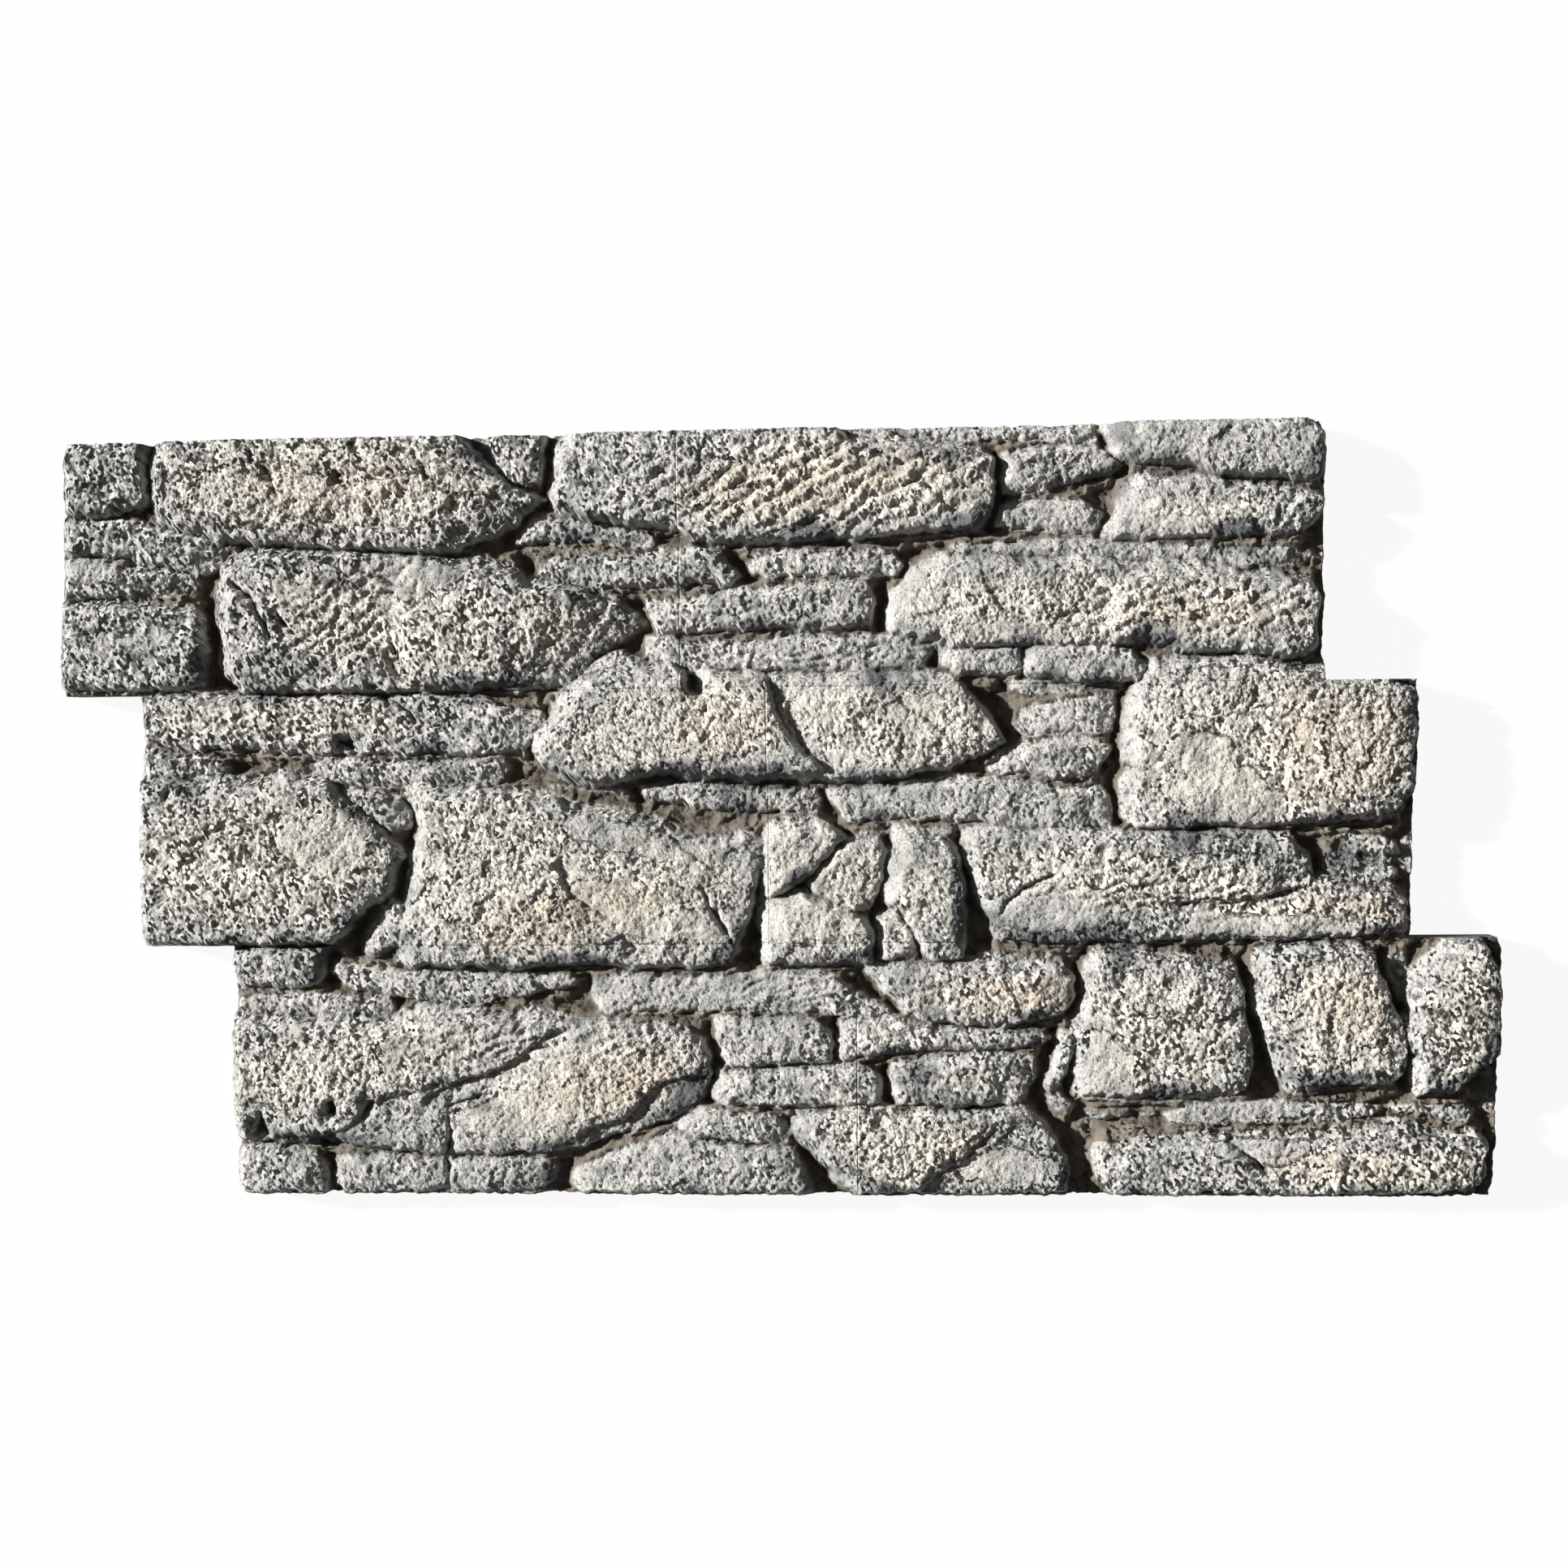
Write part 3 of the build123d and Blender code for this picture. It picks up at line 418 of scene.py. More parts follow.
# drop, spread, then the points of the line
ledges = (
    (-3.5, 9, (-296, 135), (-291, 123), (-283, 112)),
    (1.8, 14, (-397, 125), (-384, 113), (-369, 106), (-344, 98)),
    (1.6, 12, (-306, 105), (-293, 92), (-271, 97)),
    (1.8, 16, (-314, 202), (-310, 180), (-286, 179), (-256, 174)),
    (-2.4, 8, (-405, 287), (-389, 267), (-385, 256)),
    (-2.2, 8, (-274, 284), (-269, 276), (-264, 266)),
    (1.6, 14, (-215, 249), (-206, 240), (-191, 233)),
    (-2.4, 22, (-165, -44), (-156, -63), (-130, -78)),
    (-1.8, 20, (-79, -16), (-61, -31), (-38, -48)),
    (2.2, 14, (-129, -97), (-113, -91), (-105, -102), (-93, -106)),
    (-1.6, 18, (-397, -5), (-390, -25), (-372, -38), (-355, -50)),
    (1.5, 16, (-455, -15), (-440, -7), (-417, 2), (-399, -3)),
    (1.6, 12, (-303, 97), (-287, 87), (-272, 75)),
    (-2.6, 26, (15, 76), (21, 63), (29, 49), (48, 32)),
    (-1.6, 20, (104, 85), (120, 74), (135, 62)),
    (2.2, 26, (321, -69), (353, -69), (387, -63), (417, -56)),
    (2.0, 14, (262, -29), (260, -55), (289, -66), (321, -69)),
    (2.4, 30, (-270, -217), (-245, -207), (-216, -197), (-193, -183), (-173, -168)),
    (1.8, 16, (-254, -230), (-234, -227), (-221, -219)),
    (3.0, 26, (-147, -246), (-115, -237), (-100, -219), (-85, -207), (-46, -203)),
    (2.0, 24, (115, -290), (125, -274), (151, -266), (169, -248)),
    (-2.0, 14, (343, -252), (366, -266), (377, -280)),
    (-1.8, 16, (377, -280), (406, -273), (437, -258)),
    (-1.8, 20, (63, 288), (100, 275), (125, 252), (143, 233)),
    (2.0, 14, (-26, 211), (12, 223), (43, 232), (75, 228)),
    (-1.6, 18, (168, 177), (180, 158), (205, 145)),
    (-1.5, 20, (285, 175), (310, 165), (334, 146)),
    (1.8, 16, (274, -150), (283, -156), (308, -153), (345, -162), (363, -150)),
    (-1.6, 14, (265, -146), (277, -134), (280, -121)),
    (2.0, 14, (174, 239), (199, 248), (236, 250)),
    (1.5, 18, (-489, -50), (-463, -63), (-443, -83)),
)
broken = sum(ledge(*row) for row in ledges)
print(f"{len(ledges)} ledges, up to {broken.max():.1f} mm deep")

# %% Hollows, rough spots and smooth spots
# x, y, two radii, turn and, for a hollow, its depth
hollows = (
    (-291, 123, 6, 11, 25, 3.5), (-321, 292, 3, 4, 0, 3), (-293, 254, 3, 3, 0, 3),
    (-333, 268, 4, 4, 0, 2.5), (-309, 242, 4, 3, -30, 2.5), (-242, 246, 4, 6, 0, 3),
    (-389, 272, 4, 6, 30, 3), (-477, 20, 3, 4, 0, 4), (-328, 58, 8, 4, 0, 4),
    (-409, 39, 14, 6, -10, 3.5), (-49, 102, 11, 7, 0, 4), (-83, 31, 17, 5, -8, 3),
    (-351, -230, 5, 7, -10, 4), (-321, -224, 4, 7, 15, 3.5), (-411, -246, 8, 10, 30, 5),
    (-354, -257, 9, 6, -20, 5), (114, -105, 3, 3, 0, 2.5), (-106, -105, 14, 6, -10, 3),
    (80, -108, 4, 3, 0, 2), (-442, -34, 15, 6, -15, 2), (-508, 249, 10, 5, 20, 3.5),
    (-383, 154, 3, 10, 28, 3), (-522, 265, 9, 6, 20, 2.5), (-360, 108, 17, 8, 8, 2.5),
    (-155, 103, 19, 6, -6, 2), (85, -238, 5, 4, 0, 3), (431, -206, 19, 5, -4, 2.5),
    (388, -262, 28, 8, -4, 2.2), (-227, 224, 19, 6, 0, 2), (33, -101, 4, 4, 0, 2),
    (-258, -106, 25, 6, 0, 2), (217, 76, 9, 4, -10, 2), (383, 186, 13, 4, 0, 2),
    (-349, 236, 22, 5, 4, 2),
)
rough_spots = (
    (-217, 234, 38, 19, -20), (-154, 144, 51, 32, 0), (-79, 67, 76, 29, 0), (111, 71, 51, 29, 0),
    (-209, -52, 51, 38, 0), (462, 61, 38, 57, 0), (346, 93, 51, 19, 0), (437, -150, 38, 45, 0),
    (308, -137, 38, 25, 0), (88, -257, 51, 25, 0), (-83, -200, 38, 38, -20),
    (-354, -206, 51, 32, 0), (346, -50, 70, 19, 0), (218, 266, 32, 16, 0), (-391, 256, 64, 25, 0),
    (-294, 248, 57, 22, 0), (254, 163, 115, 19, 0), (-57, 262, 51, 22, 0), (420, 231, 38, 19, 0),
)
smooth_spots = (
    (-350, -19, 45, 29, 0), (352, 12, 51, 32, -20), (334, 38, 32, 25, 0), (-199, -231, 57, 19, 10),
    (-64, -219, 25, 16, 10), (222, -74, 64, 19, 0), (382, -88, 76, 10, 0), (-118, -15, 51, 13, -15),
    (-132, -65, 32, 19, 0), (182, -276, 38, 16, 0), (381, -263, 45, 11, 0), (-17, -85, 127, 13, 0),
    (-31, -133, 102, 13, 0), (-542, 201, 38, 13, 0), (27, -60, 25, 38, 0), (117, 78, 25, 16, 0),
    (-282, 191, 45, 19, 0), (314, -231, 115, 13, 0), (258, -206, 25, 38, 0), (187, 257, 19, 19, 0),
)
sunken = np.zeros_like(X)
for x, y, rx, ry, turn, deep in hollows:
    sunken = np.maximum(sunken, deep * patch(x, y, rx + 1, ry + 1, turn, 0.5))
coarse = 0.55 + 0.3 * rough(X, Y, 40, 51, 3)
for x, y, rx, ry, turn in rough_spots:
    coarse = np.maximum(coarse, 1.15 * patch(x, y, rx, ry, turn, 0.3))
for x, y, rx, ry, turn in smooth_spots:
    coarse = np.minimum(coarse, 1.2 - 1.1 * patch(x, y, rx, ry, turn, 0.3))
coarse = np.clip(coarse, 0.3, 1.2)
print(f"{len(hollows)} hollows; the crust is {coarse.mean():.2f} rough on average")

# %% The crust
crust = ((0.45 + 0.75 * coarse)
         * (1.05 * plates - 0.6 * clefts + 0.35 * chipped - 1.2 * pitted + 0.3 * lumps)
         + (0.3 + coarse) * 0.8 * slabs + 0.2 * leather + 0.6 * swell + 1.3 * billow)
print(f"crust from {crust.min():.1f} to {crust.max():.1f} mm")

# %% The finished heights
crumble = 1.1 * rough(X, Y, 6, 101, 2) + 1.2 * rough(X, Y, 16, 103, 2, fold=True)
Z = (sloped + face * (crust + 1.0 * ridges - 1.15 * broken - 1.05 * sunken - 0.8)
     + (1 - joint) * flank * crumble)
rubble = facets(X + 4 * rough(X, Y, 14, 107, 3), Y + 3 * rough(X, Y, 14, 109, 3), 13, 47)
Z += joint * (6.0 * lying - 0.5 + 1.6 * rubble + 1.0 * rough(X, Y, 12, 105, 3))
# the highest grains are bent down below the top of the solid
ceiling, bent = thickness - 0.3, 3.0
Z = np.where(Z > ceiling - bent, ceiling - bent * np.exp(-(Z - ceiling + bent) / bent), Z)
print(f"heights {Z.min():.1f} to {Z.max():.1f} mm")

# %% [markdown]
# ## Ends and edges in plan
# The courses don't end in straight saw cuts: each end leans a little and the long
# edges are ragged. The net's points are moved in plan, most at the edge and not at
# all a few centimetres inside, and only inwards from the box of the solid.

# %% Lean and raggedness of the outline
# for each course: how far its left end lies to the right at the foot and at the head
# of the course, and then its right end, in mm
lean = {"course_bottom": (1.0, 2.5, -8.0, -0.5), "course_middle": (-3.5, -1.5, -3.3, 2.5),
        "course_top": (0.5, 8.0, -2.3, 1.5)}
# in mm: how far the lean, a worn corner and a ragged edge reach into the course, how
# far a free corner is worn back, and how far both ends keep from the solid's ends
lean_reach, corner_reach, ragged_reach = 60, 10, 14
corner_wear, end_gap = 3.5, 1.2

def plan_of(course):
    """x and y of one course's points. An end's lean is blended along its height and
    fades inside the course. The corners that no other course meets are worn back
    further, which fades along the end. A ragged edge goes in by folded noise, which
    fades too."""
    c0, c1, r0, r1 = span_of(course)
    x, y, z = X[r0:r1 + 1, c0:c1 + 1], Y[r0:r1 + 1, c0:c1 + 1], Z[r0:r1 + 1, c0:c1 + 1]
    t = (y - y[0, 0]) / course_height
    foot_l, head_l, foot_r, head_r = lean[courses[course]]
    wobble = 1.0 * rough(x * 0, y, 30, 111, 3) + 0.6 * rough(x * 0, y, 8, 113, 2)
    from_left, from_right = x - x[:, :1], x[:, -1:] - x
    at_foot = 1 - ramp(y - y[0, 0], 0, corner_reach)
    at_head = 1 - ramp(y[-1, 0] - y, 0, corner_reach)
    worn_left = corner_wear * (at_foot + (course == len(courses) - 1) * at_head)
    worn_right = corner_wear * (at_head + (course == 0) * at_foot)
    left_end = foot_l + (head_l - foot_l) * t + wobble + end_gap + worn_left
    right_end = foot_r + (head_r - foot_r) * t + wobble - end_gap - worn_right
    dx = left_end * (1 - ramp(from_left, 0, lean_reach))
    dx += right_end * (1 - ramp(from_right, 0, lean_reach))
    x = np.clip(x + dx, low[0] + 0.1, high[0] - 0.1)
    folded = np.abs(1.6 * rough(X, Y * 0, 40, 115, 2) + 1.1 * rough(X, Y * 0, 9, 117, 2))
    inward = folded[r0:r1 + 1, c0:c1 + 1]
    free_low = free_high = np.zeros_like(x)
    if course == 0:
        free_low = 1 - ramp(y - y[:1], 0, ragged_reach)
    if course == len(courses) - 1:
        free_high = 1 - ramp(y[-1:] - y, 0, ragged_reach)
    return x, y + inward * (free_low - free_high), z

moved = np.abs(plan_of(2)[0] - X[2 * rows:, :columns + 1]).max()
print(f"plan of the top course moved by up to {moved:.1f} mm")

# %% [markdown]
# ## Masks for the paint
# The maker sprayed the skin grey, darker along the edges and in the joints, and dry
# brushed cream over the high grains, with a touch of peach on some stones. High grains
# are cream and edges grey; the gaps between grains, deep recesses and the sides away
# from the lamp are darkened, which is painted shade.
# The masks are stored on the mesh's points, and the material mixes the paints.

# %% Peaks, recesses, and sprayed edges with painted shade on the sides away from the lamp
peak = np.clip(0.5 + (Z - soften(Z, 2.4)) / 2.6, 0, 1)
# how far a place lies below its wider neighbourhood; the paint darkens such recesses with it, which
# is painted shade
recess_shade = np.clip((soften(Z, 9) - Z) / 6.0 - 0.2, 0, 1)
cloud = rough(X, Y, 60, 121, 4)
# the sides of the stones that fall away to the right and downwards, away from the lamp, get the
# edge grey too: painted shade, added to the grey really sprayed along the edges and in clouds
up, along = np.gradient(soften(base, 7), net_y, net_x)
away = ramp(up - along, 0.15, 1.0)
spray_and_shade = (rim * (0.05 + 0.4 * cloud) + away * (0.5 + 0.5 * cloud)
         + 0.5 * cloud - 0.03)
spray_and_shade = np.clip(spray_and_shade, 0, 1)
spray_and_shade *= 1 - 0.8 * patch(-520, 200, 60, 110)
low_strip = 1 - ramp(soften(base, 6), 28, 40)

# x, y, rx, ry, turn, strength of the cream or peach brushed on
cream_spots = (
    (-340, 262, 115, 34, 0, 0.9), (60, 258, 110, 32, 4, 0.9), (255, 158, 140, 24, 0, 0.8),
    (-290, 150, 105, 34, -8, 0.8), (-150, 146, 55, 24, -15, 0.7), (-385, 77, 105, 18, 0, 0.9),
    (-60, 73, 85, 30, 10, 0.9), (92, 70, 75, 30, -5, 1.0), (384, 49, 100, 48, 0, 0.9),
    (-398, -30, 85, 44, 0, 0.9), (-209, -46, 75, 50, -20, 1.0), (-80, -60, 50, 40, 0, 0.7),
    (60, -62, 62, 40, 0, 0.8), (270, -50, 110, 18, -5, 0.8), (426, -78, 80, 16, 0, 0.8),
    (185, -140, 60, 18, 0, 0.7), (-335, -193, 85, 28, 10, 0.9), (-150, -210, 85, 32, 15, 0.8),
    (305, -170, 45, 40, 0, 0.9), (440, -160, 45, 42, 0, 0.9), (536, -158, 30, 42, 0, 0.8),
    (100, -256, 62, 26, -15, 1.0), (470, -276, 90, 16, 0, 0.8), (20, 192, 60, 10, 0, 0.5),
    (330, 228, 50, 14, 0, 0.5), (100, -178, 60, 8, 0, 0.6), (130, -210, 50, 10, 0, 0.5),
)
peach_spots = (
    (450, 50, 60, 48, 0, 0.45), (-160, -78, 70, 20, 15, 0.6), (40, 258, 90, 20, 6, 0.5),
    (340, 150, 60, 14, 0, 0.4), (200, -140, 45, 14, 0, 0.6), (470, -72, 60, 10, 0, 0.5),
    (-110, -205, 60, 22, 10, 0.5), (450, -150, 30, 30, 0, 0.4), (440, -275, 60, 12, 0, 0.4),
    (-30, 70, 40, 20, 0, 0.3), (-330, 262, 80, 20, 0, 0.3), (180, -255, 50, 16, 0, 0.3),
)
cream = np.zeros_like(X)
for x, y, rx, ry, turn, strength in cream_spots:
    cream = np.maximum(cream, strength * patch(x, y, rx, ry, turn, 0.6))
peach = np.zeros_like(X)
for x, y, rx, ry, turn, strength in peach_spots:
    peach = np.maximum(peach, strength * patch(x, y, rx, ry, turn, 0.7))
cream = np.clip(cream * (1 - 0.5 * rim) - 0.4 * low_strip, 0, 1)
print(f"{len(cream_spots)} cream and {len(peach_spots)} peach spots")

# %% [markdown]
# ## From heights to closed pieces
# A net of heights is an open sheet, and the real skin has sides and a back. Each
# part gets four side walls, dropped from the rim of the net to the floor, and a
# flat back. A course is cut in two halves, because one fine piece would have too many
# triangles, and the six halves together stand for the one solid. The walls of two
# neighbours would lie in one plane and flicker, so each wall is drawn in by a hair.

# %% Close one part of a course
wall_steps = 2
wall_draw = 0.0001  # share of the way to the middle that each ring is drawn in

def rim_loop(rows_, cols_):
    """Numbers of the net's outer points, once round against the clock."""
    grid = np.arange(rows_ * cols_).reshape(rows_, cols_)
    return np.concatenate([grid[0, :-1], grid[:-1, -1], grid[-1, :0:-1], grid[:0:-1, 0]])

def closed_course(name, x, y, z, masks):
    """A piece from one part of the net: quads between neighbouring points, wall rings
    that go down from the rim in equal steps and inwards by a small share of the way
    to the middle, and one face for the back."""
    tall, wide = x.shape
    grid = np.arange(tall * wide).reshape(tall, wide)
    around = [grid[:-1, :-1], grid[:-1, 1:], grid[1:, 1:], grid[1:, :-1]]
    quads = [np.stack(around, -1).reshape(-1, 4)]
    loop = rim_loop(tall, wide)
    top = np.stack([x.ravel(), y.ravel(), z.ravel()], 1)
    points, last = [top], loop
    for step in range(1, wall_steps + 1):
        ring = top[loop].copy()
        ring[:, 2] *= 1 - step / wall_steps
        ring[:, :2] += wall_draw * step * (top[:, :2].mean(0) - ring[:, :2])
        new = np.arange(len(loop)) + sum(map(len, points))
        quads.append(np.stack([last, new, np.roll(new, -1), np.roll(last, -1)], 1))
        points.append(ring)
        last = new
    points, quads = np.concatenate(points), np.concatenate(quads)
    mesh = bpy.data.meshes.new(name)
    mesh.vertices.add(len(points))
    mesh.vertices.foreach_set("co", (points * mm).astype(np.float32).ravel())
    corners = np.concatenate([quads.ravel(), last[::-1]]).astype(np.int32)
    starts = np.append(np.arange(len(quads)) * 4, quads.size).astype(np.int32)
    mesh.loops.add(len(corners))
    mesh.loops.foreach_set("vertex_index", corners)
    mesh.polygons.add(len(starts))
    mesh.polygons.foreach_set("loop_start", starts)
    mesh.update(calc_edges=True)
    piece = bpy.data.objects.new(name, mesh)
    bpy.context.scene.collection.objects.link(piece)
    walls = len(points) - len(top)
    for mask, (field, on_walls) in masks.items():
        layer = mesh.attributes.new(mask, "FLOAT", "POINT")
        values = np.append(field.ravel(), np.full(walls, on_walls))
        layer.data.foreach_set("value", values.astype(np.float32))
    return piece

# %% The three courses, each in two halves
pieces = []
middle = columns // 2
masks = {"peak": (peak, 0.4), "recess_shade": (recess_shade, 0.0), "spray_and_shade": (spray_and_shade, 0.9), "joint": (joint, 0.0),
         "rough": (coarse, 0.5), "cream": (cream, 0.0), "peach": (peach, 0.0)}
for number, name in enumerate(courses):
    c0, c1, r0, r1 = span_of(number)
    x, y, z = plan_of(number)
    for side, a, b in (("left", 0, middle), ("right", middle, columns)):
        part = np.s_[r0:r1 + 1, c0 + a:c0 + b + 1]
        cut = np.s_[:, a:b + 1]
        fields = {mask: (field[part], on_walls) for mask, (field, on_walls) in masks.items()}
        piece = closed_course(f"{name}_{side}", x[cut], y[cut], z[cut], fields)
        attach(piece, "root")
        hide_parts("stone_panel")
        pieces.append(piece)
        print(piece.name, len(piece.data.polygons), "faces")

# %% [markdown]
# ## Paint
# One material, built from nodes. It reads the masks, mixes the six paints with them,
# and breaks each up with fine noise so that no patch is one flat colour. Fine grit
# that the net can't hold is a bump from noise on object coordinates.

# %% Small helpers for nodes
def srgb(r, g, b):
    """A colour as seen, 0 to 255, to the light values that a shader works with: ((c +
    0.055) / 1.055)^2.4."""
    return tuple(((c / 255 + 0.055) / 1.055) ** 2.4 for c in (r, g, b)) + (1.0,)

class Net:
    """The nodes of one material, added and wired in one line each."""

    def __init__(self, name):
        self.material = bpy.data.materials.new(name)
        self.material.use_nodes = True
        self.tree = self.material.node_tree
        self.shader = self.tree.nodes["Principled BSDF"]
        self.output = self.tree.nodes["Material Output"]

    def add(self, kind, _settings=None, **inputs):
        """A node with its settings, and its inputs by name, or by number as i0, i1."""
        node = self.tree.nodes.new(kind)
        for key, value in (_settings or {}).items():
            setattr(node, key, value)
        for key, value in inputs.items():
            by_number = key[0] == "i" and key[1:].isdigit()
            self.put(node.inputs[int(key[1:]) if by_number else key.replace("_", " ")], value)
        return node

    def put(self, socket, value):
        if isinstance(value, bpy.types.NodeSocket):
            self.tree.links.new(value, socket)
        else:
            socket.default_value = value

    def mask(self, name):
        return self.add("ShaderNodeAttribute", {"attribute_name": name}).outputs["Fac"]

    def maths(self, work, a, b=0.0, clamp=True):
        settings = {"operation": work, "use_clamp": clamp}
        return self.add("ShaderNodeMath", settings, i0=a, i1=b).outputs[0]

    def along(self, work, a, b):
        """Vector arithmetic; a dot product comes out as a number."""
        node = self.add("ShaderNodeVectorMath", {"operation": work}, i0=a, i1=b)
        return node.outputs["Value" if work == "DOT_PRODUCT" else "Vector"]

    def crumbs(self, place, size, seed):
        """Height in mm of grains as wide as the size: each scattered point has a flat
        dome, 1 less the fourth power of the distance, with its own height and a
        slight tilt. Also the gaps between them and the tone of each."""
        moved = self.along("ADD", place, (seed, 0.3 * seed, 0.0))
        cells = self.add("ShaderNodeTexVoronoi", {"voronoi_dimensions": "2D"},
                         Vector=moved, Scale=1000.0 / size).outputs
        askew = self.along("SUBTRACT", cells["Color"], (0.5, 0.5, 0.5))
        beside = self.along("SUBTRACT", moved, cells["Position"])
        tilt = self.maths("MULTIPLY", self.along("DOT_PRODUCT", askew, beside), 450.0, False)
        tones = self.add("ShaderNodeSeparateColor", i0=cells["Color"]).outputs
        bowl = self.maths("POWER", cells["Distance"], 4.0, False)
        dome = self.maths("SUBTRACT", 1.0, bowl, False)
        own = self.maths("ADD", tones[2], 0.45, False)
        own = self.maths("MULTIPLY", own, 0.5 * size, False)
        high = self.maths("ADD", self.maths("MULTIPLY", dome, own, False), tilt, False)
        return high, self.span(cells["Distance"], 0.55, 0.8), tones[0]

    def mix(self, share, under, over):
        """under where share is 0, over where it is 1."""
        node = self.add("ShaderNodeMix", {"data_type": "RGBA"}, Factor=share)
        self.put(node.inputs[6], under)
        self.put(node.inputs[7], over)
        return node.outputs[2]

    def span(self, value, start, end):
        """value from start to end spread over 0 to 1."""
        return self.add("ShaderNodeMapRange", {"interpolation_type": "SMOOTHSTEP"},
                        Value=value, From_Min=start, From_Max=end).outputs["Result"]

# %% The painted stone
paint = Net("painted_stone")
place = paint.add("ShaderNodeTexCoord").outputs["Object"]
# seen askew, so that the flat patterns reach down the sides too
leaning = paint.add("ShaderNodeMapping", Vector=place, Scale=(1.2, 1.0, 1.0),
                    Rotation=[math.radians(d) for d in (35, 30, -22)]).outputs[0]
flat = {"noise_dimensions": "2D"}
grit = paint.add("ShaderNodeTexNoise", flat, Vector=leaning, Scale=520.0,
                 Detail=3.0, Roughness=0.62).outputs["Fac"]
wander = paint.add("ShaderNodeTexNoise", flat, Vector=leaning, Scale=260.0,
                   Detail=1.0).outputs["Color"]
wandered = paint.add("ShaderNodeVectorMath", {"operation": "MULTIPLY_ADD"}, i0=wander,
                     i1=(0.0012, 0.0012, 0.0), i2=leaning).outputs["Vector"]
big, big_line, big_tone = paint.crumbs(wandered, 2.5, 0.31)
small, small_line, _ = paint.crumbs(wandered, 1.3, 0.77)
rough_share = paint.span(paint.mask("rough"), 0.25, 0.9)
mottle = paint.add("ShaderNodeTexNoise", flat, Vector=leaning, Scale=38.0,
                   Detail=4.0, Roughness=0.6).outputs["Fac"]

cream_paint, peach_paint = srgb(241, 235, 221), srgb(240, 217, 192)
grey_paint, edge_paint = srgb(207, 205, 199), srgb(120, 121, 121)
# the first, nearly black colour is painted shade for the gaps between grains and the deep recesses;
# the second is the joints' own colour
painted_shade_colour, joint_paint = srgb(48, 43, 37), srgb(130, 122, 110)

warm = paint.mix(paint.mask("peach"), cream_paint, peach_paint)
body = paint.mix(paint.span(paint.mask("cream"), -0.2, 0.8), grey_paint, warm)
# edge grey from this mask: real sprayed grey, and painted shade on the sides that face away from
# the lamp
edged = paint.mix(paint.span(paint.mask("spray_and_shade"), 0.15, 0.95), body, edge_paint)
speckle = paint.maths("MULTIPLY", paint.span(mottle, 0.42, 0.7), 0.35)
speckled = paint.mix(speckle, edged, edge_paint)
# low places between grains and fine crevices are darkened towards near black: painted shade
gaps = paint.maths("MULTIPLY", paint.span(paint.mask("peak"), 0.22, 0.0), 0.5)
line = paint.mix(rough_share, small_line, big_line)
patches = paint.add("ShaderNodeTexNoise", flat, Vector=leaning, Scale=230.0,
                    Detail=2.0).outputs["Fac"]
patches = paint.span(patches, 0.3, 0.55)
crevice_shade = paint.maths("MULTIPLY", line, paint.maths("MULTIPLY", patches, 0.6))
gap_shaded = paint.mix(paint.maths("MAXIMUM", gaps, crevice_shade), speckled, painted_shade_colour)
tone_share = paint.maths("MULTIPLY", paint.span(big_tone, 0.45, 1.0), 0.12)
toned = paint.mix(tone_share, gap_shaded, edge_paint)
in_joint = paint.span(paint.mask("joint"), 0.2, 0.9)
jointed = paint.mix(in_joint, toned, joint_paint)
# deep recesses are darkened towards near black: painted shade
deep = paint.mix(paint.maths("MULTIPLY", paint.mask("recess_shade"), 0.7), jointed, painted_shade_colour)
paint.put(paint.shader.inputs["Base Color"], deep)
paint.put(paint.shader.inputs["Roughness"], 0.92)
paint.put(paint.shader.inputs["Specular IOR Level"], 0.2)

coarse_part = paint.maths("MULTIPLY", big, paint.maths("ADD", 0.5, rough_share, False), False)
fine_part = paint.maths("MULTIPLY", paint.maths("ADD", small, grit, False), 0.5, False)
height = paint.maths("ADD", coarse_part, fine_part, False)
calm = paint.maths("SUBTRACT", 1.0, paint.maths("MULTIPLY", in_joint, 0.4))
bump = paint.add("ShaderNodeBump", Strength=calm, Distance=0.0009, Height=height)
paint.put(paint.shader.inputs["Normal"], bump.outputs[0])
for piece in pieces:
    piece.data.materials.append(paint.material)
print("paint has", len(paint.tree.nodes), "nodes")

# %% [markdown]
# ## Floor and backdrop
# The photograph has a pure white ground. The floor is white to the camera, and still
# keeps a part of the panel's shadow, so that it lies on something.

# %% Floor
def sheet_of(name, half):
    """A flat square at height 0, from minus half to half along X and Y."""
    mesh = bpy.data.meshes.new(name)
    corners = [(-half, -half, 0), (half, -half, 0), (half, half, 0), (-half, half, 0)]
    mesh.from_pydata(corners, [], [(0, 1, 2, 3)])
    thing = bpy.data.objects.new(name, mesh)
    bpy.context.scene.collection.objects.link(thing)
    return thing

half_floor = 8.0
floor = sheet_of("floor", half_floor)
ground = Net("white_ground")
ground.put(ground.shader.inputs["Base Color"], (0.9, 0.9, 0.9, 1))
ground.put(ground.shader.inputs["Roughness"], 0.9)
rays = ground.add("ShaderNodeLightPath").outputs
seen = ground.maths("ADD", ground.maths("ADD", rays["Is Camera Ray"], rays["Is Glossy Ray"]),
                    rays["Is Transmission Ray"])
glow = ground.add("ShaderNodeEmission", Color=(1, 1, 1, 1), Strength=1.0)
blend = ground.add("ShaderNodeMixShader", i0=ground.maths("MULTIPLY", seen, 0.93),
                   i1=ground.shader.outputs[0], i2=glow.outputs[0])
ground.put(ground.output.inputs["Surface"], blend.outputs[0])
floor.data.materials.append(ground.material)
print(f"floor of {2 * half_floor:.0f} m")

# %% [markdown]
# ## Light
# The relief only shows when light rakes across it. One large lamp stands to the left
# and a little above the panel's head, low enough for every grain to throw a shadow to
# its right. A weak second lamp and the pale world fill the joints.

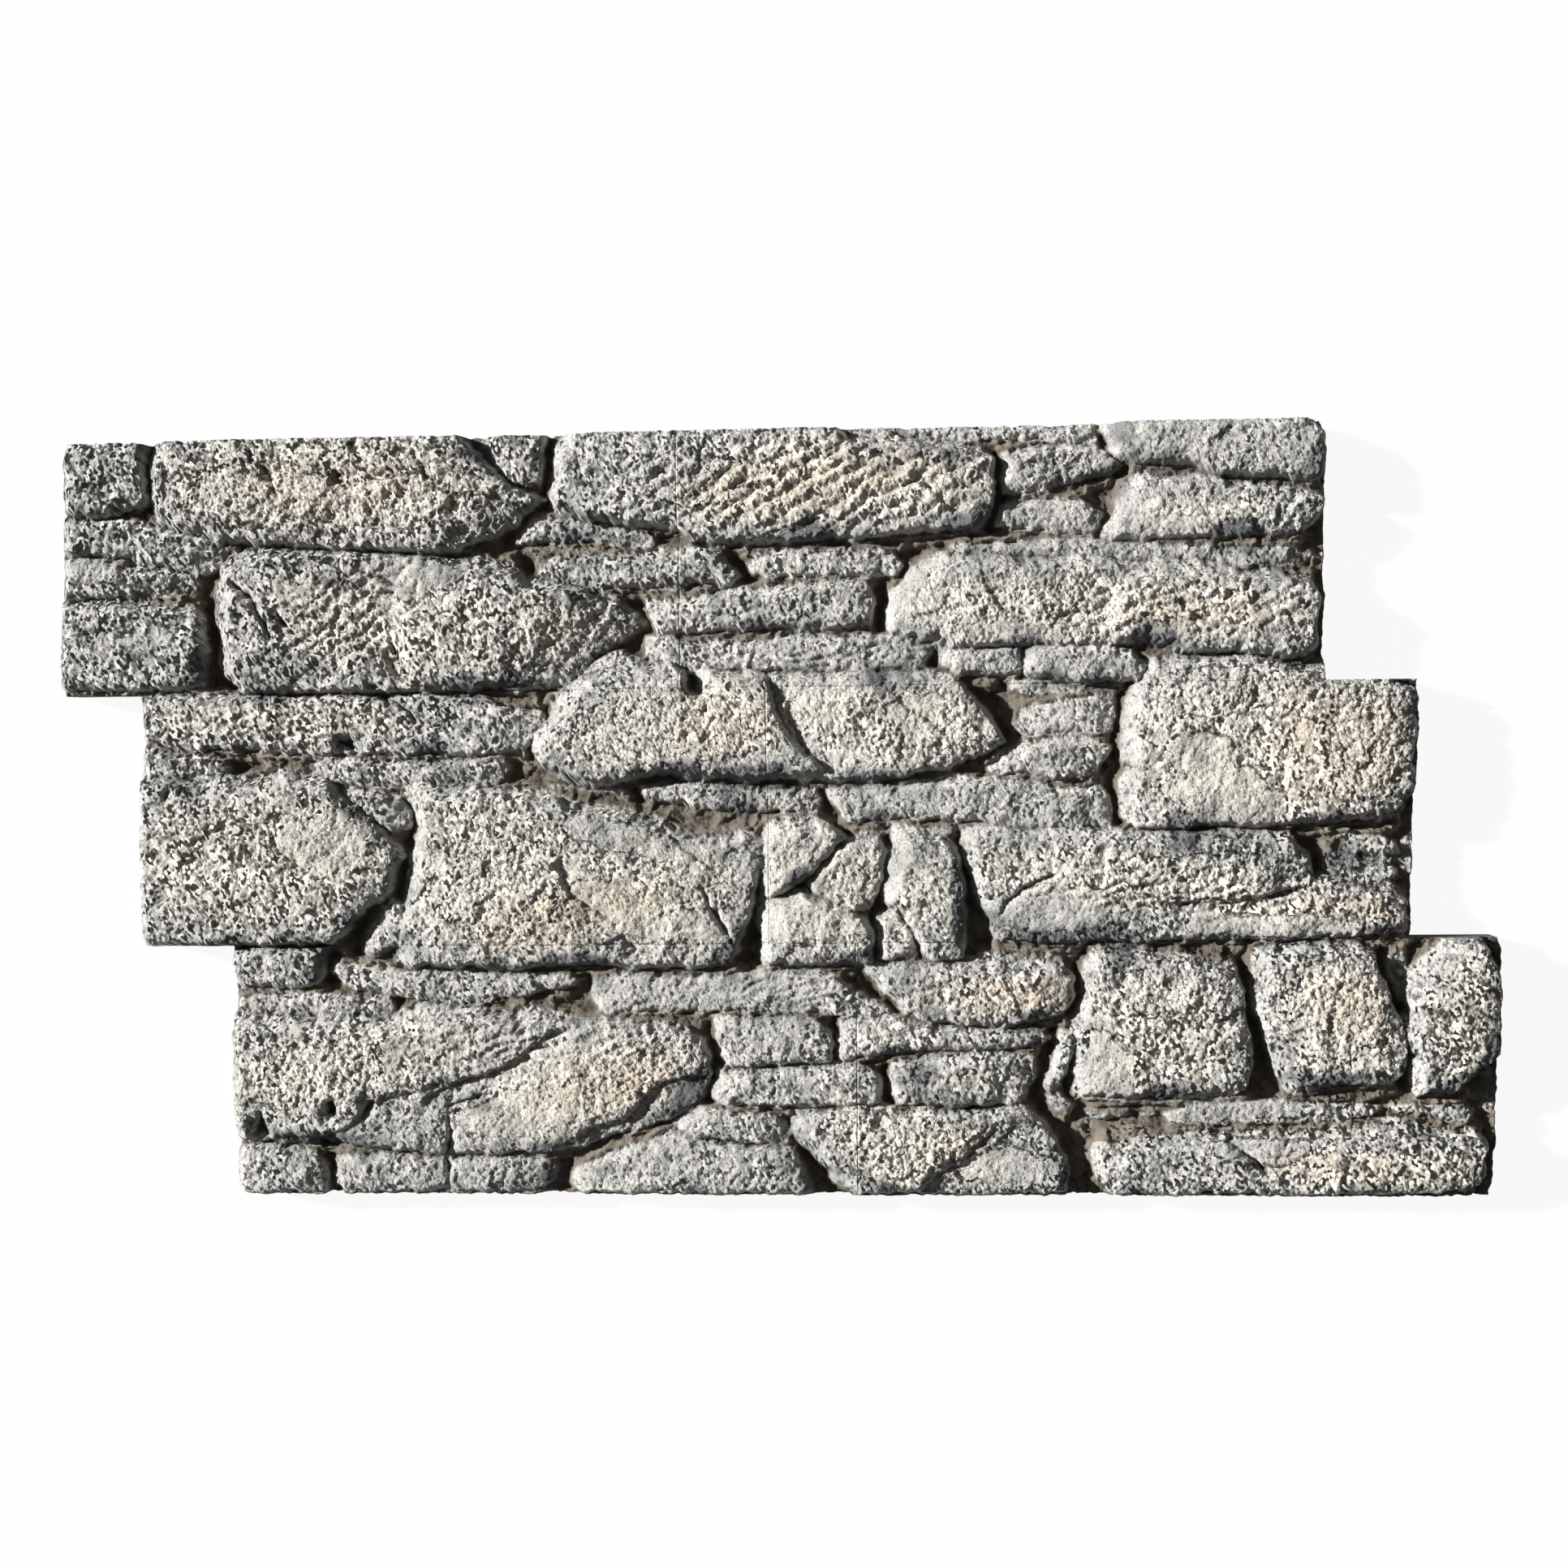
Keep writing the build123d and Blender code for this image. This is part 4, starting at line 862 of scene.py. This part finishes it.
# %% Lamps and world
def sun(name, azimuth, elevation, strength, spread):
    """A lamp at infinity. The azimuth is where it stands, against the clock from +X."""
    lamp = bpy.data.lights.new(name, "SUN")
    lamp.energy, lamp.angle = strength, math.radians(spread)
    thing = bpy.data.objects.new(name, lamp)
    a, e = math.radians(azimuth), math.radians(elevation)
    back = (math.cos(a) * math.cos(e), math.sin(a) * math.cos(e), math.sin(e))
    thing.matrix_world = Matrix.Translation([3 * c for c in back]) @ (
        Matrix.Rotation(a + math.pi / 2, 4, "Z") @ Matrix.Rotation(math.pi / 2 - e, 4, "X"))
    bpy.context.scene.collection.objects.link(thing)
    return thing

sun("window", 163, 25, 6.6, 2)
sun("fill", 75, 60, 0.06, 60)
world = bpy.data.worlds.new("pale_room")
bpy.context.scene.world = world
world.use_nodes = True
tree = world.node_tree
sky = tree.nodes["Background"]
sky.inputs["Color"].default_value = (0.93, 0.96, 1.0, 1)
sky.inputs["Strength"].default_value = 0.042
white = tree.nodes.new("ShaderNodeBackground")
rays = tree.nodes.new("ShaderNodeLightPath").outputs
share = rays["Is Camera Ray"]
for ray in ("Is Glossy Ray", "Is Transmission Ray"):
    either = tree.nodes.new("ShaderNodeMath")
    either.use_clamp = True
    tree.links.new(share, either.inputs[0])
    tree.links.new(rays[ray], either.inputs[1])
    share = either.outputs[0]
both = tree.nodes.new("ShaderNodeMixShader")
tree.links.new(share, both.inputs[0])
tree.links.new(sky.outputs[0], both.inputs[1])
tree.links.new(white.outputs[0], both.inputs[2])
tree.links.new(both.outputs[0], tree.nodes["World Output"].inputs["Surface"])
bpy.context.scene.view_settings.view_transform = "Standard"
print("two lamps and a world")

# %% [markdown]
# ## Camera
# The photograph looks almost straight down from about one and a half metres, a touch
# right of the middle. The place and turn were fitted to the twelve corners of the
# three courses.

# %% Camera
turn = [math.radians(d) for d in (-1.65, 3.38, -0.64)]
angle = math.hypot(*turn)
camera = bpy.data.objects.new("camera", bpy.data.cameras.new("camera"))
camera.matrix_world = Matrix.Translation((0.0995, 0.0662, 1.5)) @ Matrix.Rotation(
    angle, 4, [t / angle for t in turn])
camera.data.sensor_width = 36
camera.data.lens = 43.18
camera.data.clip_start, camera.data.clip_end = 0.01, 50
bpy.context.scene.collection.objects.link(camera)
bpy.context.scene.camera = camera
